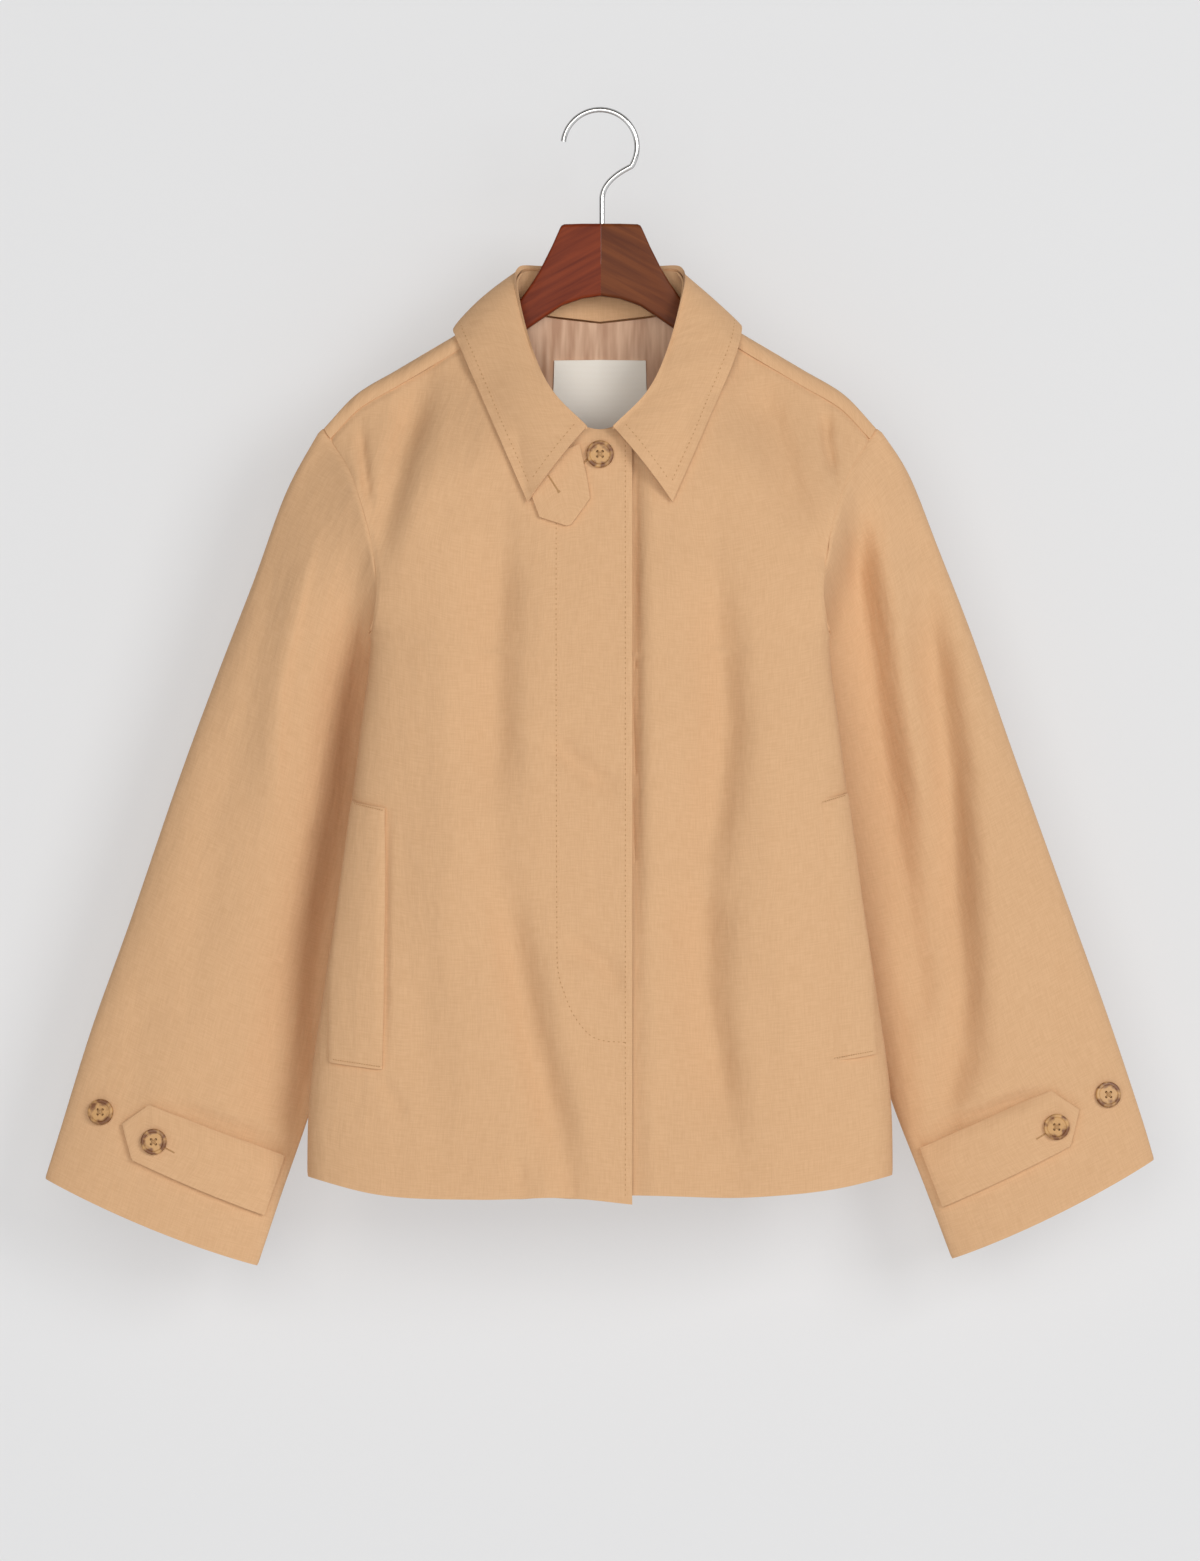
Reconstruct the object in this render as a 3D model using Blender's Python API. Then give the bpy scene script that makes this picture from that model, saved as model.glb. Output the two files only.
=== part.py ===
"""A short car coat hung on a wooden hanger: cloth walls, buttons, hanger and hook.

Sizes are in millimetres. The origin is the inner top of the hook, +Z is up and the
coat's front faces -Y. A drop is a distance below the origin, so it is -Z. Left and right
are the wearer's, so the right side lies at -X.
"""
import math

import bmesh
import bpy
import numpy as np
from mathutils import Vector

for old in list(bpy.data.objects):
    bpy.data.objects.remove(old, do_unlink=True)

MM = 0.001

# Driving dimensions
CLOTH = 1.5
LINING = 1.0
SEAM = 0.6
LAYER = 2.8
LAYER_START = 44.0
LAYER_REACH = 20.0
ON_PANEL = CLOTH + 0.8
OVERLAP = 23.5
UNDERLAP = 25.0
NECK_FRONT = 236.0
NECK_BACK = 154.0
ROUNDNESS = 2.4
RIDGE_RADIUS = 9.0
SHOULDER_FALL = 110.0
SHOULDER_SEAM = 13.0
FLAP_START = 71.0
TIP_START = 170.0
TIP_RISE = 0.36
TIP_LEAN = 0.6
UNDERARM = 384.0
ARMHOLE_SHARE = 0.3
SLEEVE_FADE = 0.34
SIDE_TURN = math.pi / 2 - 0.0025
COLLAR_CLEAR = 3.4
COLLAR_BULGE = 7.0
RIGHT_BULGE = 0.5
LEFT_BULGE = 0.15
ROLL_EDGE = 1.9
ROLL_RISE = 3.4
ROLL_OUT = 2.2
LINING_GAP = 3.2
LABEL_GAP = 0.8
LABEL_DROP = 179.5
WELT_SLANT = 5.0
STRAP_WIDTH = 43.0
STRAP_RISE = 67.0
STRAP_SLOPE = 14.0
STRAP_INNER = -0.9
STRAP_TIP = 0.5
CUFF_BUTTON = 19.0
COLLAR_BUTTON = 20.0
COLLAR_BUTTON_DROP = 252.5
BUTTON_THICK = 3.2
BUTTON_EDGE = 0.8
BUTTON_GAP = 0.3
WIRE = 4.0
HOOK_RADIUS = 27.2
STEM_X = 1.5
STEM_SEAT = 0.3
HANGER_JOINT = 0.7
HANGER_TOP = 82.0

CLOTH_TAN = (0.60, 0.37, 0.19)
LINING_ROSE = (0.40, 0.25, 0.18)
LABEL_CREAM = (0.72, 0.66, 0.55)
HORN_BROWN = (0.14, 0.07, 0.03)
WOOD_RED = (0.22, 0.06, 0.025)
CHROME = (0.75, 0.75, 0.75)


def table(columns, *rows):
    """Turn rows of numbers into named columns."""
    names = columns.split()
    return {name: np.array([row[i] for row in rows], float) for i, name in enumerate(names)}


# The coat's shoulder ridge, from the middle of the neck out past the shoulder tip
RIDGE = table(
    "x drop",
    (0, 90),
    (40, 108),
    (70, 140),
    (105, 163),
    (148, 188.5),
    (179, 207),
    (203, 232),
    (214, 250),
)

# The body's section at each drop: half its width, and how far its front and back stand
# from the line through its two sides
BODY = table(
    "drop half side_y front back",
    (150, 262, 0, 40, 34),
    (236, 250, 0, 40, 34),
    (280, 226, -3, 40, 36),
    (320, 202, -6, 40, 38),
    (355, 183, -9, 40, 39),
    (385, 169, -11, 40, 40),
    (405, 169.5, -12, 40, 40),
    (440, 174, -13, 40, 41),
    (512, 183, -14, 40, 42),
    (640, 202, -15, 40, 42),
    (720, 213, -15, 41, 42),
    (805, 215, -15, 42, 42),
)

# The armhole, the same in front and behind, from the shoulder tip to the underarm
ARMHOLE = table(
    "part x drop",
    (0.00, 203, 232),
    (0.06, 198, 240.5),
    (0.20, 186, 259),
    (0.38, 175, 286),
    (0.60, 166.5, 321),
    (0.80, 164, 352),
    (1.00, 169, 384),
)
# Where the armhole has points, so that sleeve and body share them
ARMHOLE_PARTS = np.array([0, 0.06, 0.16, 0.28, 0.42, 0.56, 0.70, 0.84, 0.95, 1])

# A front's upper edge, from its centre edge along the neck and out along the shoulder seam
FRONT_TOP = table(
    "part x drop",
    (0.00, -24, 236),
    (0.14, 10, 236),
    (0.21, 28, 226),
    (0.29, 45, 210),
    (0.36, 57, 189),
    (0.43, 67, 169),
    (0.50, 75, 157.5),
    (0.62, 105, 176),
    (0.79, 148, 201.5),
    (0.91, 179, 221),
    (1.00, 198, 240.5),
)

# The back's neck edge from its middle to the ridge, then its shoulder
BACK_TOP = table(
    "part x drop",
    (0.00, 0, 154),
    (0.16, 25, 152),
    (0.30, 60, 145.5),
    (0.40, 74, 143.3),
    (0.58, 105, 163),
    (0.76, 148, 188.5),
    (0.88, 179, 207),
    (1.00, 203, 232),
)

# Each hem, from the centre to the side
HEM_RIGHT = table("x drop", (-24, 800.5), (20, 796), (88, 797), (166, 793), (215, 781))
HEM_LEFT = table("x drop", (-25, 794), (29, 794), (117, 795), (175, 789), (215, 780))
HEM_BACK = table("x drop", (0, 795), (60, 794), (120, 791), (170, 787), (215, 780))

# Each sleeve's outer and inner edge seen from the front, the place of its middle from front
# to back, and its half depths, a row for each section from armhole to cuff
SLEEVE_COLUMNS = "out_x out_drop in_x in_drop mid_y front back"
SLEEVE_RIGHT = table(
    SLEEVE_COLUMNS,
    (205, 235, 169, 384, -6, 26, 26),
    (231, 281, 171.5, 416, 6, 32, 28),
    (254.5, 343, 168, 462, 14, 30, 28),
    (280, 408, 171, 516, 18, 28, 27),
    (310, 489, 181, 578, 19, 26, 26),
    (345.5, 593, 196, 656, 18, 24, 26),
    (374.5, 674, 209, 720, 18, 21, 24),
    (398, 750, 236, 800, 16, 18, 21),
    (408.5, 784, 252, 848, 14, 17, 20),
)
SLEEVE_LEFT = table(
    SLEEVE_COLUMNS,
    (203, 232, 169, 384, -6, 26, 26),
    (226, 266, 171.5, 416, 6, 32, 28),
    (248, 318, 168, 462, 14, 30, 28),
    (273, 381, 171, 516, 18, 28, 27),
    (305, 472, 181, 578, 19, 26, 26),
    (340, 570, 196, 656, 18, 24, 26),
    (373.5, 663, 212, 719, 18, 21, 24),
    (397.5, 735, 239.5, 791, 16, 18, 21),
    (408, 770, 259, 843, 14, 17, 20),
)
CUFF_BOW = 4.5

# The collar, from its middle behind (turn 0) round to a front end (turn 1): its seam on the
# neck, which follows the body's back (face 1) or front (face -1), its roll line and its edge
NECK_SEAM = table(
    "turn x drop face",
    (0.00, 0, 154, 1),
    (0.22, 38, 150, 1),
    (0.40, 62, 145, 1),
    (0.48, 72, 141.5, 0),
    (0.56, 73, 155, -1),
    (0.70, 61, 181, -1),
    (0.85, 42, 213, -1),
    (1.00, 10, 237.5, -1),
)
ROLL = table(
    "turn x y drop",
    (0.00, 0, 20, 114.5),
    (0.25, 40, 16, 116),
    (0.45, 59, 4, 119),
    (0.60, 60.5, -13, 135),
    (0.75, 48, -30, 181),
    (0.88, 33, -41, 211),
    (1.00, 9.2, -46, 235.5),
)
OUTER = table(
    "turn x y drop",
    (0.00, 0, 40, 168),
    (0.25, 58, 30, 166),
    (0.42, 99, 12, 157),
    (0.50, 108, 0, 159),
    (0.58, 103, -13, 172),
    (0.79, 78, -30, 230),
    (1.00, 53, -46, 287.5),
)
OUTER_LEFT = table(
    "turn x y drop",
    (0.00, 0, 40, 168),
    (0.25, 58, 30, 166),
    (0.42, 95, 12, 157),
    (0.50, 104, 0, 156.5),
    (0.58, 102, -15, 171),
    (0.79, 78, -30, 230),
    (1.00, 53, -46, 287.5),
)

# The tab's left and right edge, from under the collar to its tip
TAB = table(
    "left_x left_drop right_x right_drop",
    (-55, 262, -15, 245),
    (-49, 285.5, -10, 268),
    (-44, 298.7, -7.3, 284.8),
    (-30, 303.2, -16, 297),
    (-24.5, 305, -21, 304),
)

# A pocket welt's front edge and its edge at the side, for each side of the coat
WELT_RIGHT = table("drop near far", (511, 157, 181), (575, 158, 190), (638, 159, 198), (702, 159, 198))
WELT_LEFT = table("drop near far", (505, 160, 181), (575, 163, 190), (638, 166, 199), (696, 169, 202))

# The lining's upper edge, from its middle to its side
LINING_TOP = table("x drop", (0, 153), (38, 149), (46, 148), (56, 148))

# Each cuff's buttons: number, place across the sleeve, rise above the cuff and height of the seat
CUFF_BUTTONS = {
    "right": ((1, 0.2, STRAP_RISE - 5, ON_PANEL), (2, 0.71, STRAP_RISE + 3, 0)),
    "left": ((1, 0.27, STRAP_RISE - 6, ON_PANEL), (2, 0.78, STRAP_RISE + 2, 0)),
}

# A half of the hanger, from its middle out: upper and lower edge and half its thickness
HANGER = table(
    "x top bottom half",
    (0.4, 82, 135, 7),
    (14, 82, 137, 7),
    (28, 82.6, 142, 7),
    (30, 85, 143, 7),
    (36, 98.5, 147, 7),
    (43.5, 113.5, 152, 6.8),
    (58, 136, 162, 5.8),
    (70, 149.5, 171, 5.2),
    (80, 156.5, 177, 6),
    (105, 170, 192, 6),
    (148, 195, 215, 6),
    (172, 210, 228, 6),
    (181, 219, 233, 5),
    (185, 225, 230, 3.5),
)

# The largest folds as soft troughs: start, middle and end, half width and depth
FOLD_COLUMNS = "x0 drop0 x1 drop1 x2 drop2 wide deep"
FOLDS_RIGHT = table(
    FOLD_COLUMNS,
    (-118, 198, -137, 249, -156, 324, 13, 6),
    (-172, 225, -167, 263, -164, 290, 8, 4),
    (-60, 314, -63, 390, -65, 468, 22, 3),
    (-70, 559, -47, 669, -16, 788, 20, 5),
)
FOLDS_LEFT = table(
    FOLD_COLUMNS,
    (116, 193, 138, 247, 158, 314, 13, 6),
    (167, 219, 168, 242, 171, 260, 7, 4),
    (89, 505, 89, 608, 82, 773, 24, 5),
)
FOLDS_BACK = table(
    FOLD_COLUMNS,
    (-60, 330, -72, 520, -84, 780, 30, 5),
    (70, 360, 78, 540, 80, 780, 28, 5),
)
FOLDS_SLEEVE_RIGHT = table(
    FOLD_COLUMNS,
    (-190, 330, -205, 480, -214, 640, 14, 4),
    (-262, 420, -280, 520, -300, 640, 18, 3),
)
FOLDS_SLEEVE_LEFT = table(
    FOLD_COLUMNS,
    (182, 279, 208, 410, 233, 578, 12, 6),
    (236, 329, 253, 430, 271, 547, 13, 4),
)


def smooth(stations, values, at):
    """Read a cubic curve through a table's rows."""
    slopes = np.gradient(values, stations)
    at = np.clip(at, stations[0], stations[-1])
    row = np.clip(np.searchsorted(stations, at) - 1, 0, len(stations) - 2)
    step = stations[row + 1] - stations[row]
    f = (at - stations[row]) / step
    start = (1 + 2 * f) * (1 - f) ** 2 * values[row] + f * (1 - f) ** 2 * step * slopes[row]
    end = f**2 * (3 - 2 * f) * values[row + 1] + f**2 * (f - 1) * step * slopes[row + 1]
    return start + end


def ease(f):
    """Rise from 0 to 1 with a level start and end."""
    f = np.clip(f, 0, 1)
    return f * f * (3 - 2 * f)


def body_half(drop):
    """Half the body's width at a drop."""
    return smooth(BODY["drop"], BODY["half"], drop)


def body_y(x, drop, face):
    """Front (-1) or back (+1) of the body: rounded over the hanger and closed at the sides."""
    below = np.maximum(drop - smooth(RIDGE["x"], RIDGE["drop"], np.abs(x)), 0)
    front = smooth(BODY["drop"], BODY["front"], drop)
    back = smooth(BODY["drop"], BODY["back"], drop)
    depth = np.where(np.asarray(face) < 0, front, back)
    rounded = RIDGE_RADIUS * np.sqrt(1 - (1 - np.minimum(below / RIDGE_RADIUS, 1)) ** 2)
    full = rounded + (depth - RIDGE_RADIUS) * ease(below / SHOULDER_FALL)
    across = np.minimum(np.abs(x) / body_half(drop), 1)
    closing = (1 - across**ROUNDNESS) ** (1 / ROUNDNESS)
    return smooth(BODY["drop"], BODY["side_y"], drop) + face * closing * full


def folds(rows, x, drop):
    """Depth of all the troughs in a table at the given places."""
    total = np.zeros(np.broadcast(x, drop).shape)
    for x0, drop0, x1, drop1, x2, drop2, wide, deep in zip(*rows.values()):
        nearest = np.full(total.shape, np.inf)
        along = np.zeros(total.shape)
        legs = ((x0, drop0, x1, drop1, 0.0), (x1, drop1, x2, drop2, 0.5))
        for ax, ad, bx, bd, begin in legs:
            length2 = (bx - ax) ** 2 + (bd - ad) ** 2
            f = np.clip(((x - ax) * (bx - ax) + (drop - ad) * (bd - ad)) / length2, 0, 1)
            away = np.hypot(x - ax - f * (bx - ax), drop - ad - f * (bd - ad))
            along = np.where(away < nearest, begin + f / 2, along)
            nearest = np.minimum(away, nearest)
        taper = ease(along / 0.3) * ease((1 - along) / 0.3)
        total = total + deep * (0.25 + 0.75 * taper) * np.exp(-((nearest / wide) ** 2))
    return total


def turn_of(x, drop):
    """The turn round the body's section at which it has a given x."""
    return np.arcsin(np.clip(x / body_half(drop), -1, 1))


def front_surface(side, fold_rows):
    """A front as a function of turn and drop; the left one dips under the right one."""

    def surface(turn, drop):
        x = side * np.sin(turn) * body_half(drop)
        y = body_y(x, drop, -1) + folds(fold_rows, x, drop)
        if side > 0:
            y = y + (LAYER + folds(FOLDS_RIGHT, x, drop)) * ease((LAYER_START - x) / LAYER_REACH)
        return np.stack([x, y, -drop], axis=-1)

    return surface


def back_surface(turn, drop):
    """The back as a function of turn and drop."""
    x = np.sin(turn) * body_half(drop)
    y = body_y(x, drop, 1) - folds(FOLDS_BACK, x, drop) * ease((drop - UNDERARM) / 60)
    return np.stack([x, y, -drop], axis=-1)


def patch(top, bottom, near, far, s, t):
    """Fill four edges, each a function of 0 to 1 giving a turn and a drop.

    The upper edge's shape is lost by the underarm, so that no point leaves the armhole.
    """
    s = s[:, None]
    t = t[None, :]
    upper = 1 - ease(s / ARMHOLE_SHARE)
    filled = []
    for k in (0, 1):
        a, b, c, d = top(t)[k], bottom(t)[k], near(s)[k], far(s)[k]
        first = (1 - t) * a[0, 0] + t * a[0, -1]
        last = (1 - t) * b[0, 0] + t * b[0, -1]
        filled.append((1 - t) * c + t * d + upper * (a - first) + s * (b - last))
    return filled


def edge(rows, at):
    """A table's edge as turn and drop."""
    drop = np.interp(at, rows["part"], rows["drop"])
    return turn_of(np.interp(at, rows["part"], rows["x"]), drop), drop


def hem_edge(rows, at):
    """A hem spread evenly from its first turn to the side."""
    first = turn_of(rows["x"][0], rows["drop"][0])
    turn = first + (SIDE_TURN - first) * at
    return turn, smooth(rows["x"], rows["drop"], np.sin(turn) * body_half(rows["drop"][-1]))


def side_edge(at, start, hem_drop):
    """The armhole from its part called start, then the side seam."""
    turn, drop = edge(ARMHOLE, start + (1 - start) * np.minimum(at / ARMHOLE_SHARE, 1))
    f = np.clip((at - ARMHOLE_SHARE) / (1 - ARMHOLE_SHARE), 0, 1)
    turn = np.where(at < ARMHOLE_SHARE, np.minimum(turn, SIDE_TURN), SIDE_TURN)
    return turn, np.where(at < ARMHOLE_SHARE, drop, UNDERARM + (hem_drop - UNDERARM) * f)


def panel_rows(start, extra, count):
    """Row places of a panel, with a row at each point of the armhole."""
    parts = ARMHOLE_PARTS[ARMHOLE_PARTS >= start]
    armhole = np.union1d((parts - start) / (1 - start), extra) * ARMHOLE_SHARE
    return np.concatenate([armhole, np.linspace(ARMHOLE_SHARE, 1, count + 1)[1:]])


def front_places(side, hem, columns=14, rows=12):
    """Turn and drop of a front's points."""
    first = OVERLAP if side < 0 else UNDERLAP
    start = ARMHOLE["part"][1]

    def near(at):
        drop = NECK_FRONT + (hem["drop"][0] - NECK_FRONT) * at
        return turn_of(-first + 0 * at, drop), drop

    return patch(
        lambda t: edge(FRONT_TOP, t),
        lambda t: hem_edge(hem, t),
        near,
        lambda s: side_edge(s, start, hem["drop"][-1]),
        panel_rows(start, [], rows),
        np.linspace(0, 1, columns + 1),
    )


def back_places(columns=10, rows=12):
    """Turn and drop of the back's points, both halves."""

    def middle(at):
        return 0 * at, NECK_BACK + (HEM_BACK["drop"][0] - NECK_BACK) * at

    turn, drop = patch(
        lambda t: edge(BACK_TOP, t),
        lambda t: hem_edge(HEM_BACK, t),
        middle,
        lambda s: side_edge(s, 0, HEM_BACK["drop"][-1]),
        panel_rows(0, [0.01, 0.03], rows),
        np.linspace(0, 1, columns + 1),
    )
    turn = np.concatenate([-turn[:, ::-1], turn[:, 1:]], axis=1)
    return turn, np.concatenate([drop[:, ::-1], drop[:, 1:]], axis=1)


def sleeve_oval(rows, at, c, s):
    """A sleeve's plain oval section at a row place."""
    stations = np.arange(len(rows["out_x"]), dtype=float)
    get = {name: smooth(stations, rows[name], at) for name in rows}
    x = (get["out_x"] * (1 + c) + get["in_x"] * (1 - c)) / 2
    drop = (get["out_drop"] * (1 + c) + get["in_drop"] * (1 - c)) / 2
    return x, get["mid_y"] - s * np.where(s > 0, get["front"], get["back"]), drop


def sleeve_surface(side, rows, fold_rows):
    """A sleeve as a function of t, armhole to cuff, and of the turn from its outer edge."""

    def surface(t, turn):
        c = np.cos(turn)
        s = np.sin(turn)
        x, y, drop = sleeve_oval(rows, t * (len(rows["out_x"]) - 1), c, s)
        start_x, start_y, start_drop = sleeve_oval(rows, 0 * t, c, s)
        part = (1 - c) / 2
        hole_x = np.interp(part, ARMHOLE["part"], ARMHOLE["x"])
        hole_drop = np.interp(part, ARMHOLE["part"], ARMHOLE["drop"])
        hole_y = body_y(hole_x, hole_drop, np.where(s > 0, -1, 1))
        fade = 1 - ease(t / SLEEVE_FADE)
        gap = SEAM * (1 + 2.5 * np.exp(-part / 0.03))
        x = x + (hole_x + gap - start_x) * fade
        y = y + (hole_y - start_y) * fade
        drop = drop + (hole_drop + SEAM / 3 - start_drop) * fade + CUFF_BOW * s * s * ease(t)
        y = y + folds(fold_rows, side * x, drop) * ease(s / 0.5) * ease(t / 0.05)
        return np.stack([side * x, y, -drop], axis=-1)

    return surface


def sleeve_places(rings=16):
    """Places of a sleeve's points, with a column at each point of the armhole."""
    front = np.arccos(1 - 2 * ARMHOLE_PARTS)
    turn = np.concatenate([front[:-1], 2 * math.pi - front[:0:-1]])[None, :]
    t = np.linspace(0, 1, rings + 1)[:, None]
    return t + 0 * turn, turn + 0 * t


def rise_to_t(rows, rise):
    """The t of a sleeve at a height above its cuff, along its middle line."""
    t = np.linspace(0, 1, 200)
    stations = np.arange(len(rows["out_x"]), dtype=float)
    x = smooth(stations, (rows["out_x"] + rows["in_x"]) / 2, t * stations[-1])
    drop = smooth(stations, (rows["out_drop"] + rows["in_drop"]) / 2, t * stations[-1])
    steps = np.hypot(np.diff(x), np.diff(drop))
    left = np.concatenate([np.cumsum(steps[::-1])[::-1], [0]])
    return np.interp(rise, left[::-1], t[::-1])


def raised(surface, a, b, heights, inside):
    """Points of a surface moved out along its normals by each height, and the normals."""
    step = 1e-3
    here = surface(a, b)
    along = surface(a + step, b) - surface(a - step, b)
    across = surface(a, b + step) - surface(a, b - step)
    normal = np.cross(along, across)
    normal = normal / np.linalg.norm(normal, axis=-1, keepdims=True)
    if np.sum(normal * (here - np.array(inside))) < 0:
        normal = -normal
    return [here + height * normal for height in heights], normal


def grid_wall(grid, inside, thick):
    """The outer and inner points of a wall through a grid."""
    normal = np.cross(np.gradient(grid, axis=0), np.gradient(grid, axis=1))
    normal = normal / np.linalg.norm(normal, axis=-1, keepdims=True)
    if np.sum(normal * (grid - np.array(inside))) < 0:
        normal = -normal
    return grid, grid - thick * normal


def collar_line(rows, turn):
    """A collar line's points on one side, from its middle behind to its front end."""
    return np.stack([smooth(rows["turn"], rows[k], turn) for k in ("x", "y", "drop")], axis=-1)


def neck_line(turn):
    """The neck seam, on the body's back, ridge and front."""
    x = np.interp(turn, NECK_SEAM["turn"], NECK_SEAM["x"])
    drop = np.interp(turn, NECK_SEAM["turn"], NECK_SEAM["drop"])
    face = np.interp(turn, NECK_SEAM["turn"], NECK_SEAM["face"])
    return np.stack([x, body_y(x, drop, face), drop], axis=-1)


def both_sides(right, left):
    """Join two halves that start at the middle behind, and turn drops into heights."""
    mirrored = right * np.array([-1, 1, 1])
    whole = np.concatenate([mirrored[:, ::-1], left[:, 1:]], axis=1)
    return whole * np.array([1, 1, -1])


def stand_grid(rows=3, columns=16):
    """The stand, from the neck seam up to the roll line."""
    turn = np.linspace(0, 0.985, columns + 1)
    foot = neck_line(turn)
    roll = collar_line(ROLL, turn)
    reach = np.linalg.norm(roll - foot, axis=-1, keepdims=True)
    foot = foot + (roll - foot) * np.minimum(2 * SEAM / reach, 0.5)
    f = np.linspace(0, 1, rows)[:, None, None]
    half = foot[None] * (1 - f) + roll[None] * f
    return both_sides(half, half)


def fall_grid():
    """The fall, which lies flatter over the left shoulder than over the right one."""
    return both_sides(fall_half(OUTER, RIGHT_BULGE), fall_half(OUTER_LEFT, LEFT_BULGE))


def fall_half(edge_rows, flat, rows=5, columns=16):
    """Half the fall, over the roll line and down to the collar's outer edge."""
    turn = np.linspace(0, 1, columns + 1)
    roll = collar_line(ROLL, turn)
    outer = collar_line(edge_rows, turn)
    full = (1 - (1 - flat) * ease((turn - 0.15) / 0.15) * ease((0.8 - turn) / 0.15))[:, None]
    out = np.cross(np.gradient((roll + outer) / 2, axis=0), outer - roll)
    out = out / np.linalg.norm(out, axis=-1, keepdims=True)
    away = roll * np.array([1, 1, 0]) + np.array([0, 10, -20])
    out = out * np.sign(np.sum(out * away, axis=-1, keepdims=True))
    up = np.array([0, 0, -1.0])
    lines = [roll + ROLL_EDGE * up, roll + ROLL_RISE * up + ROLL_OUT * out]
    for f in np.linspace(0, 1, rows)[1:]:
        bulge = COLLAR_BULGE * math.sin(math.pi * f) ** 0.7
        line = roll + (outer - roll) * f + ROLL_RISE * up * (1 - f) + bulge * full * out
        lines.append(clear_of_body(line, turn))
    return np.array(lines)


def clear_of_body(line, turn):
    """Keep a collar line outside the body's back and front."""
    x, y, drop = line[:, 0], line[:, 1], line[:, 2]
    front = np.minimum(y, body_y(x, drop, -1) - COLLAR_CLEAR)
    back = np.maximum(y, body_y(x, drop, 1) + COLLAR_CLEAR)
    y = np.where(turn > 0.54, front, np.where(turn < 0.46, back, y))
    crown = np.sqrt(np.maximum(RIDGE_RADIUS**2 - y**2, 0))
    over = smooth(RIDGE["x"], RIDGE["drop"], x) + RIDGE_RADIUS - crown - COLLAR_CLEAR
    drop = np.where(np.abs(y) < RIDGE_RADIUS, np.minimum(drop, over), drop)
    return np.stack([x, y, drop], axis=-1)


def welt_places(rows, steps=10, columns=4):
    """Turn and drop of a pocket welt's points."""
    drop = np.linspace(rows["drop"][0], rows["drop"][-1], steps + 1)[:, None]
    near = turn_of(np.interp(drop, rows["drop"], rows["near"]), drop)
    far = turn_of(np.minimum(np.interp(drop, rows["drop"], rows["far"]), body_half(drop) - 1.5), drop)
    f = np.linspace(0, 1, columns + 1)[None, :]
    return near + (far - near) * f, drop - WELT_SLANT * f


def strap_places(rows, steps=12):
    """Places of a pointed strap across a sleeve's front, rising from the seam to its tip."""
    shank = 0.88
    f = np.linspace(0, 1, steps + 1)[None, :]
    lift = np.linspace(-1, 1, 5)[:, None]
    narrow = 1 - 0.9 * np.clip((f - shank) / (1 - shank), 0, 1)
    turn = np.arccos(STRAP_INNER + (STRAP_TIP - STRAP_INNER) * f) + 0 * lift
    rise = STRAP_RISE - STRAP_SLOPE * (1 - f) + lift * narrow * STRAP_WIDTH / 2
    return rise_to_t(rows, rise), turn


def tab_places(columns=6, steps=8):
    """Turn and drop of the tab's points on the right front."""
    stations = np.arange(len(TAB["left_x"]), dtype=float)
    s = np.linspace(0, stations[-1], steps + 1)[:, None]
    f = np.linspace(0, 1, columns + 1)[None, :]
    left_x, left_drop, right_x, right_drop = (np.interp(s, stations, TAB[k]) for k in TAB)
    drop = left_drop + (right_drop - left_drop) * f
    return turn_of(-(left_x + (right_x - left_x) * f), drop), drop


def inner_places(first_half, last_half, first, last, rows, columns):
    """Turn and drop of a panel inside the back, from its upper edge down to a drop."""
    part = np.linspace(-1, 1, columns + 1)[None, :]
    f = np.linspace(0, 1, rows + 1)[:, None]
    top = np.interp(first_half * np.abs(part), first["x"], first["drop"])
    drop = top + (last - top) * f
    return turn_of(part * (first_half + (last_half - first_half) * f), drop), drop


def finish_material(name, colour, roughness, metallic=0.0):
    """A plain shader with the piece's colour."""
    material = bpy.data.materials.new(name)
    material.use_nodes = True
    shader = material.node_tree.nodes["Principled BSDF"]
    shader.inputs["Base Color"].default_value = (*colour, 1)
    shader.inputs["Roughness"].default_value = roughness
    shader.inputs["Metallic"].default_value = metallic
    return material


def add_object(name, mesh, material):
    """Put a mesh in the scene under its own name."""
    mesh.materials.append(material)
    mesh.shade_smooth()
    mesh.set_sharp_from_angle(angle=math.radians(40))
    item = bpy.data.objects.new(name, mesh)
    bpy.context.scene.collection.objects.link(item)
    return item


def grid_quads(rows, columns, ring):
    """Corner numbers of a grid's quads."""
    quads = []
    for i in range(rows - 1):
        for j in range(columns if ring else columns - 1):
            k = (j + 1) % columns
            quads.append((i * columns + j, i * columns + k, (i + 1) * columns + k, (i + 1) * columns + j))
    return quads


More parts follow.
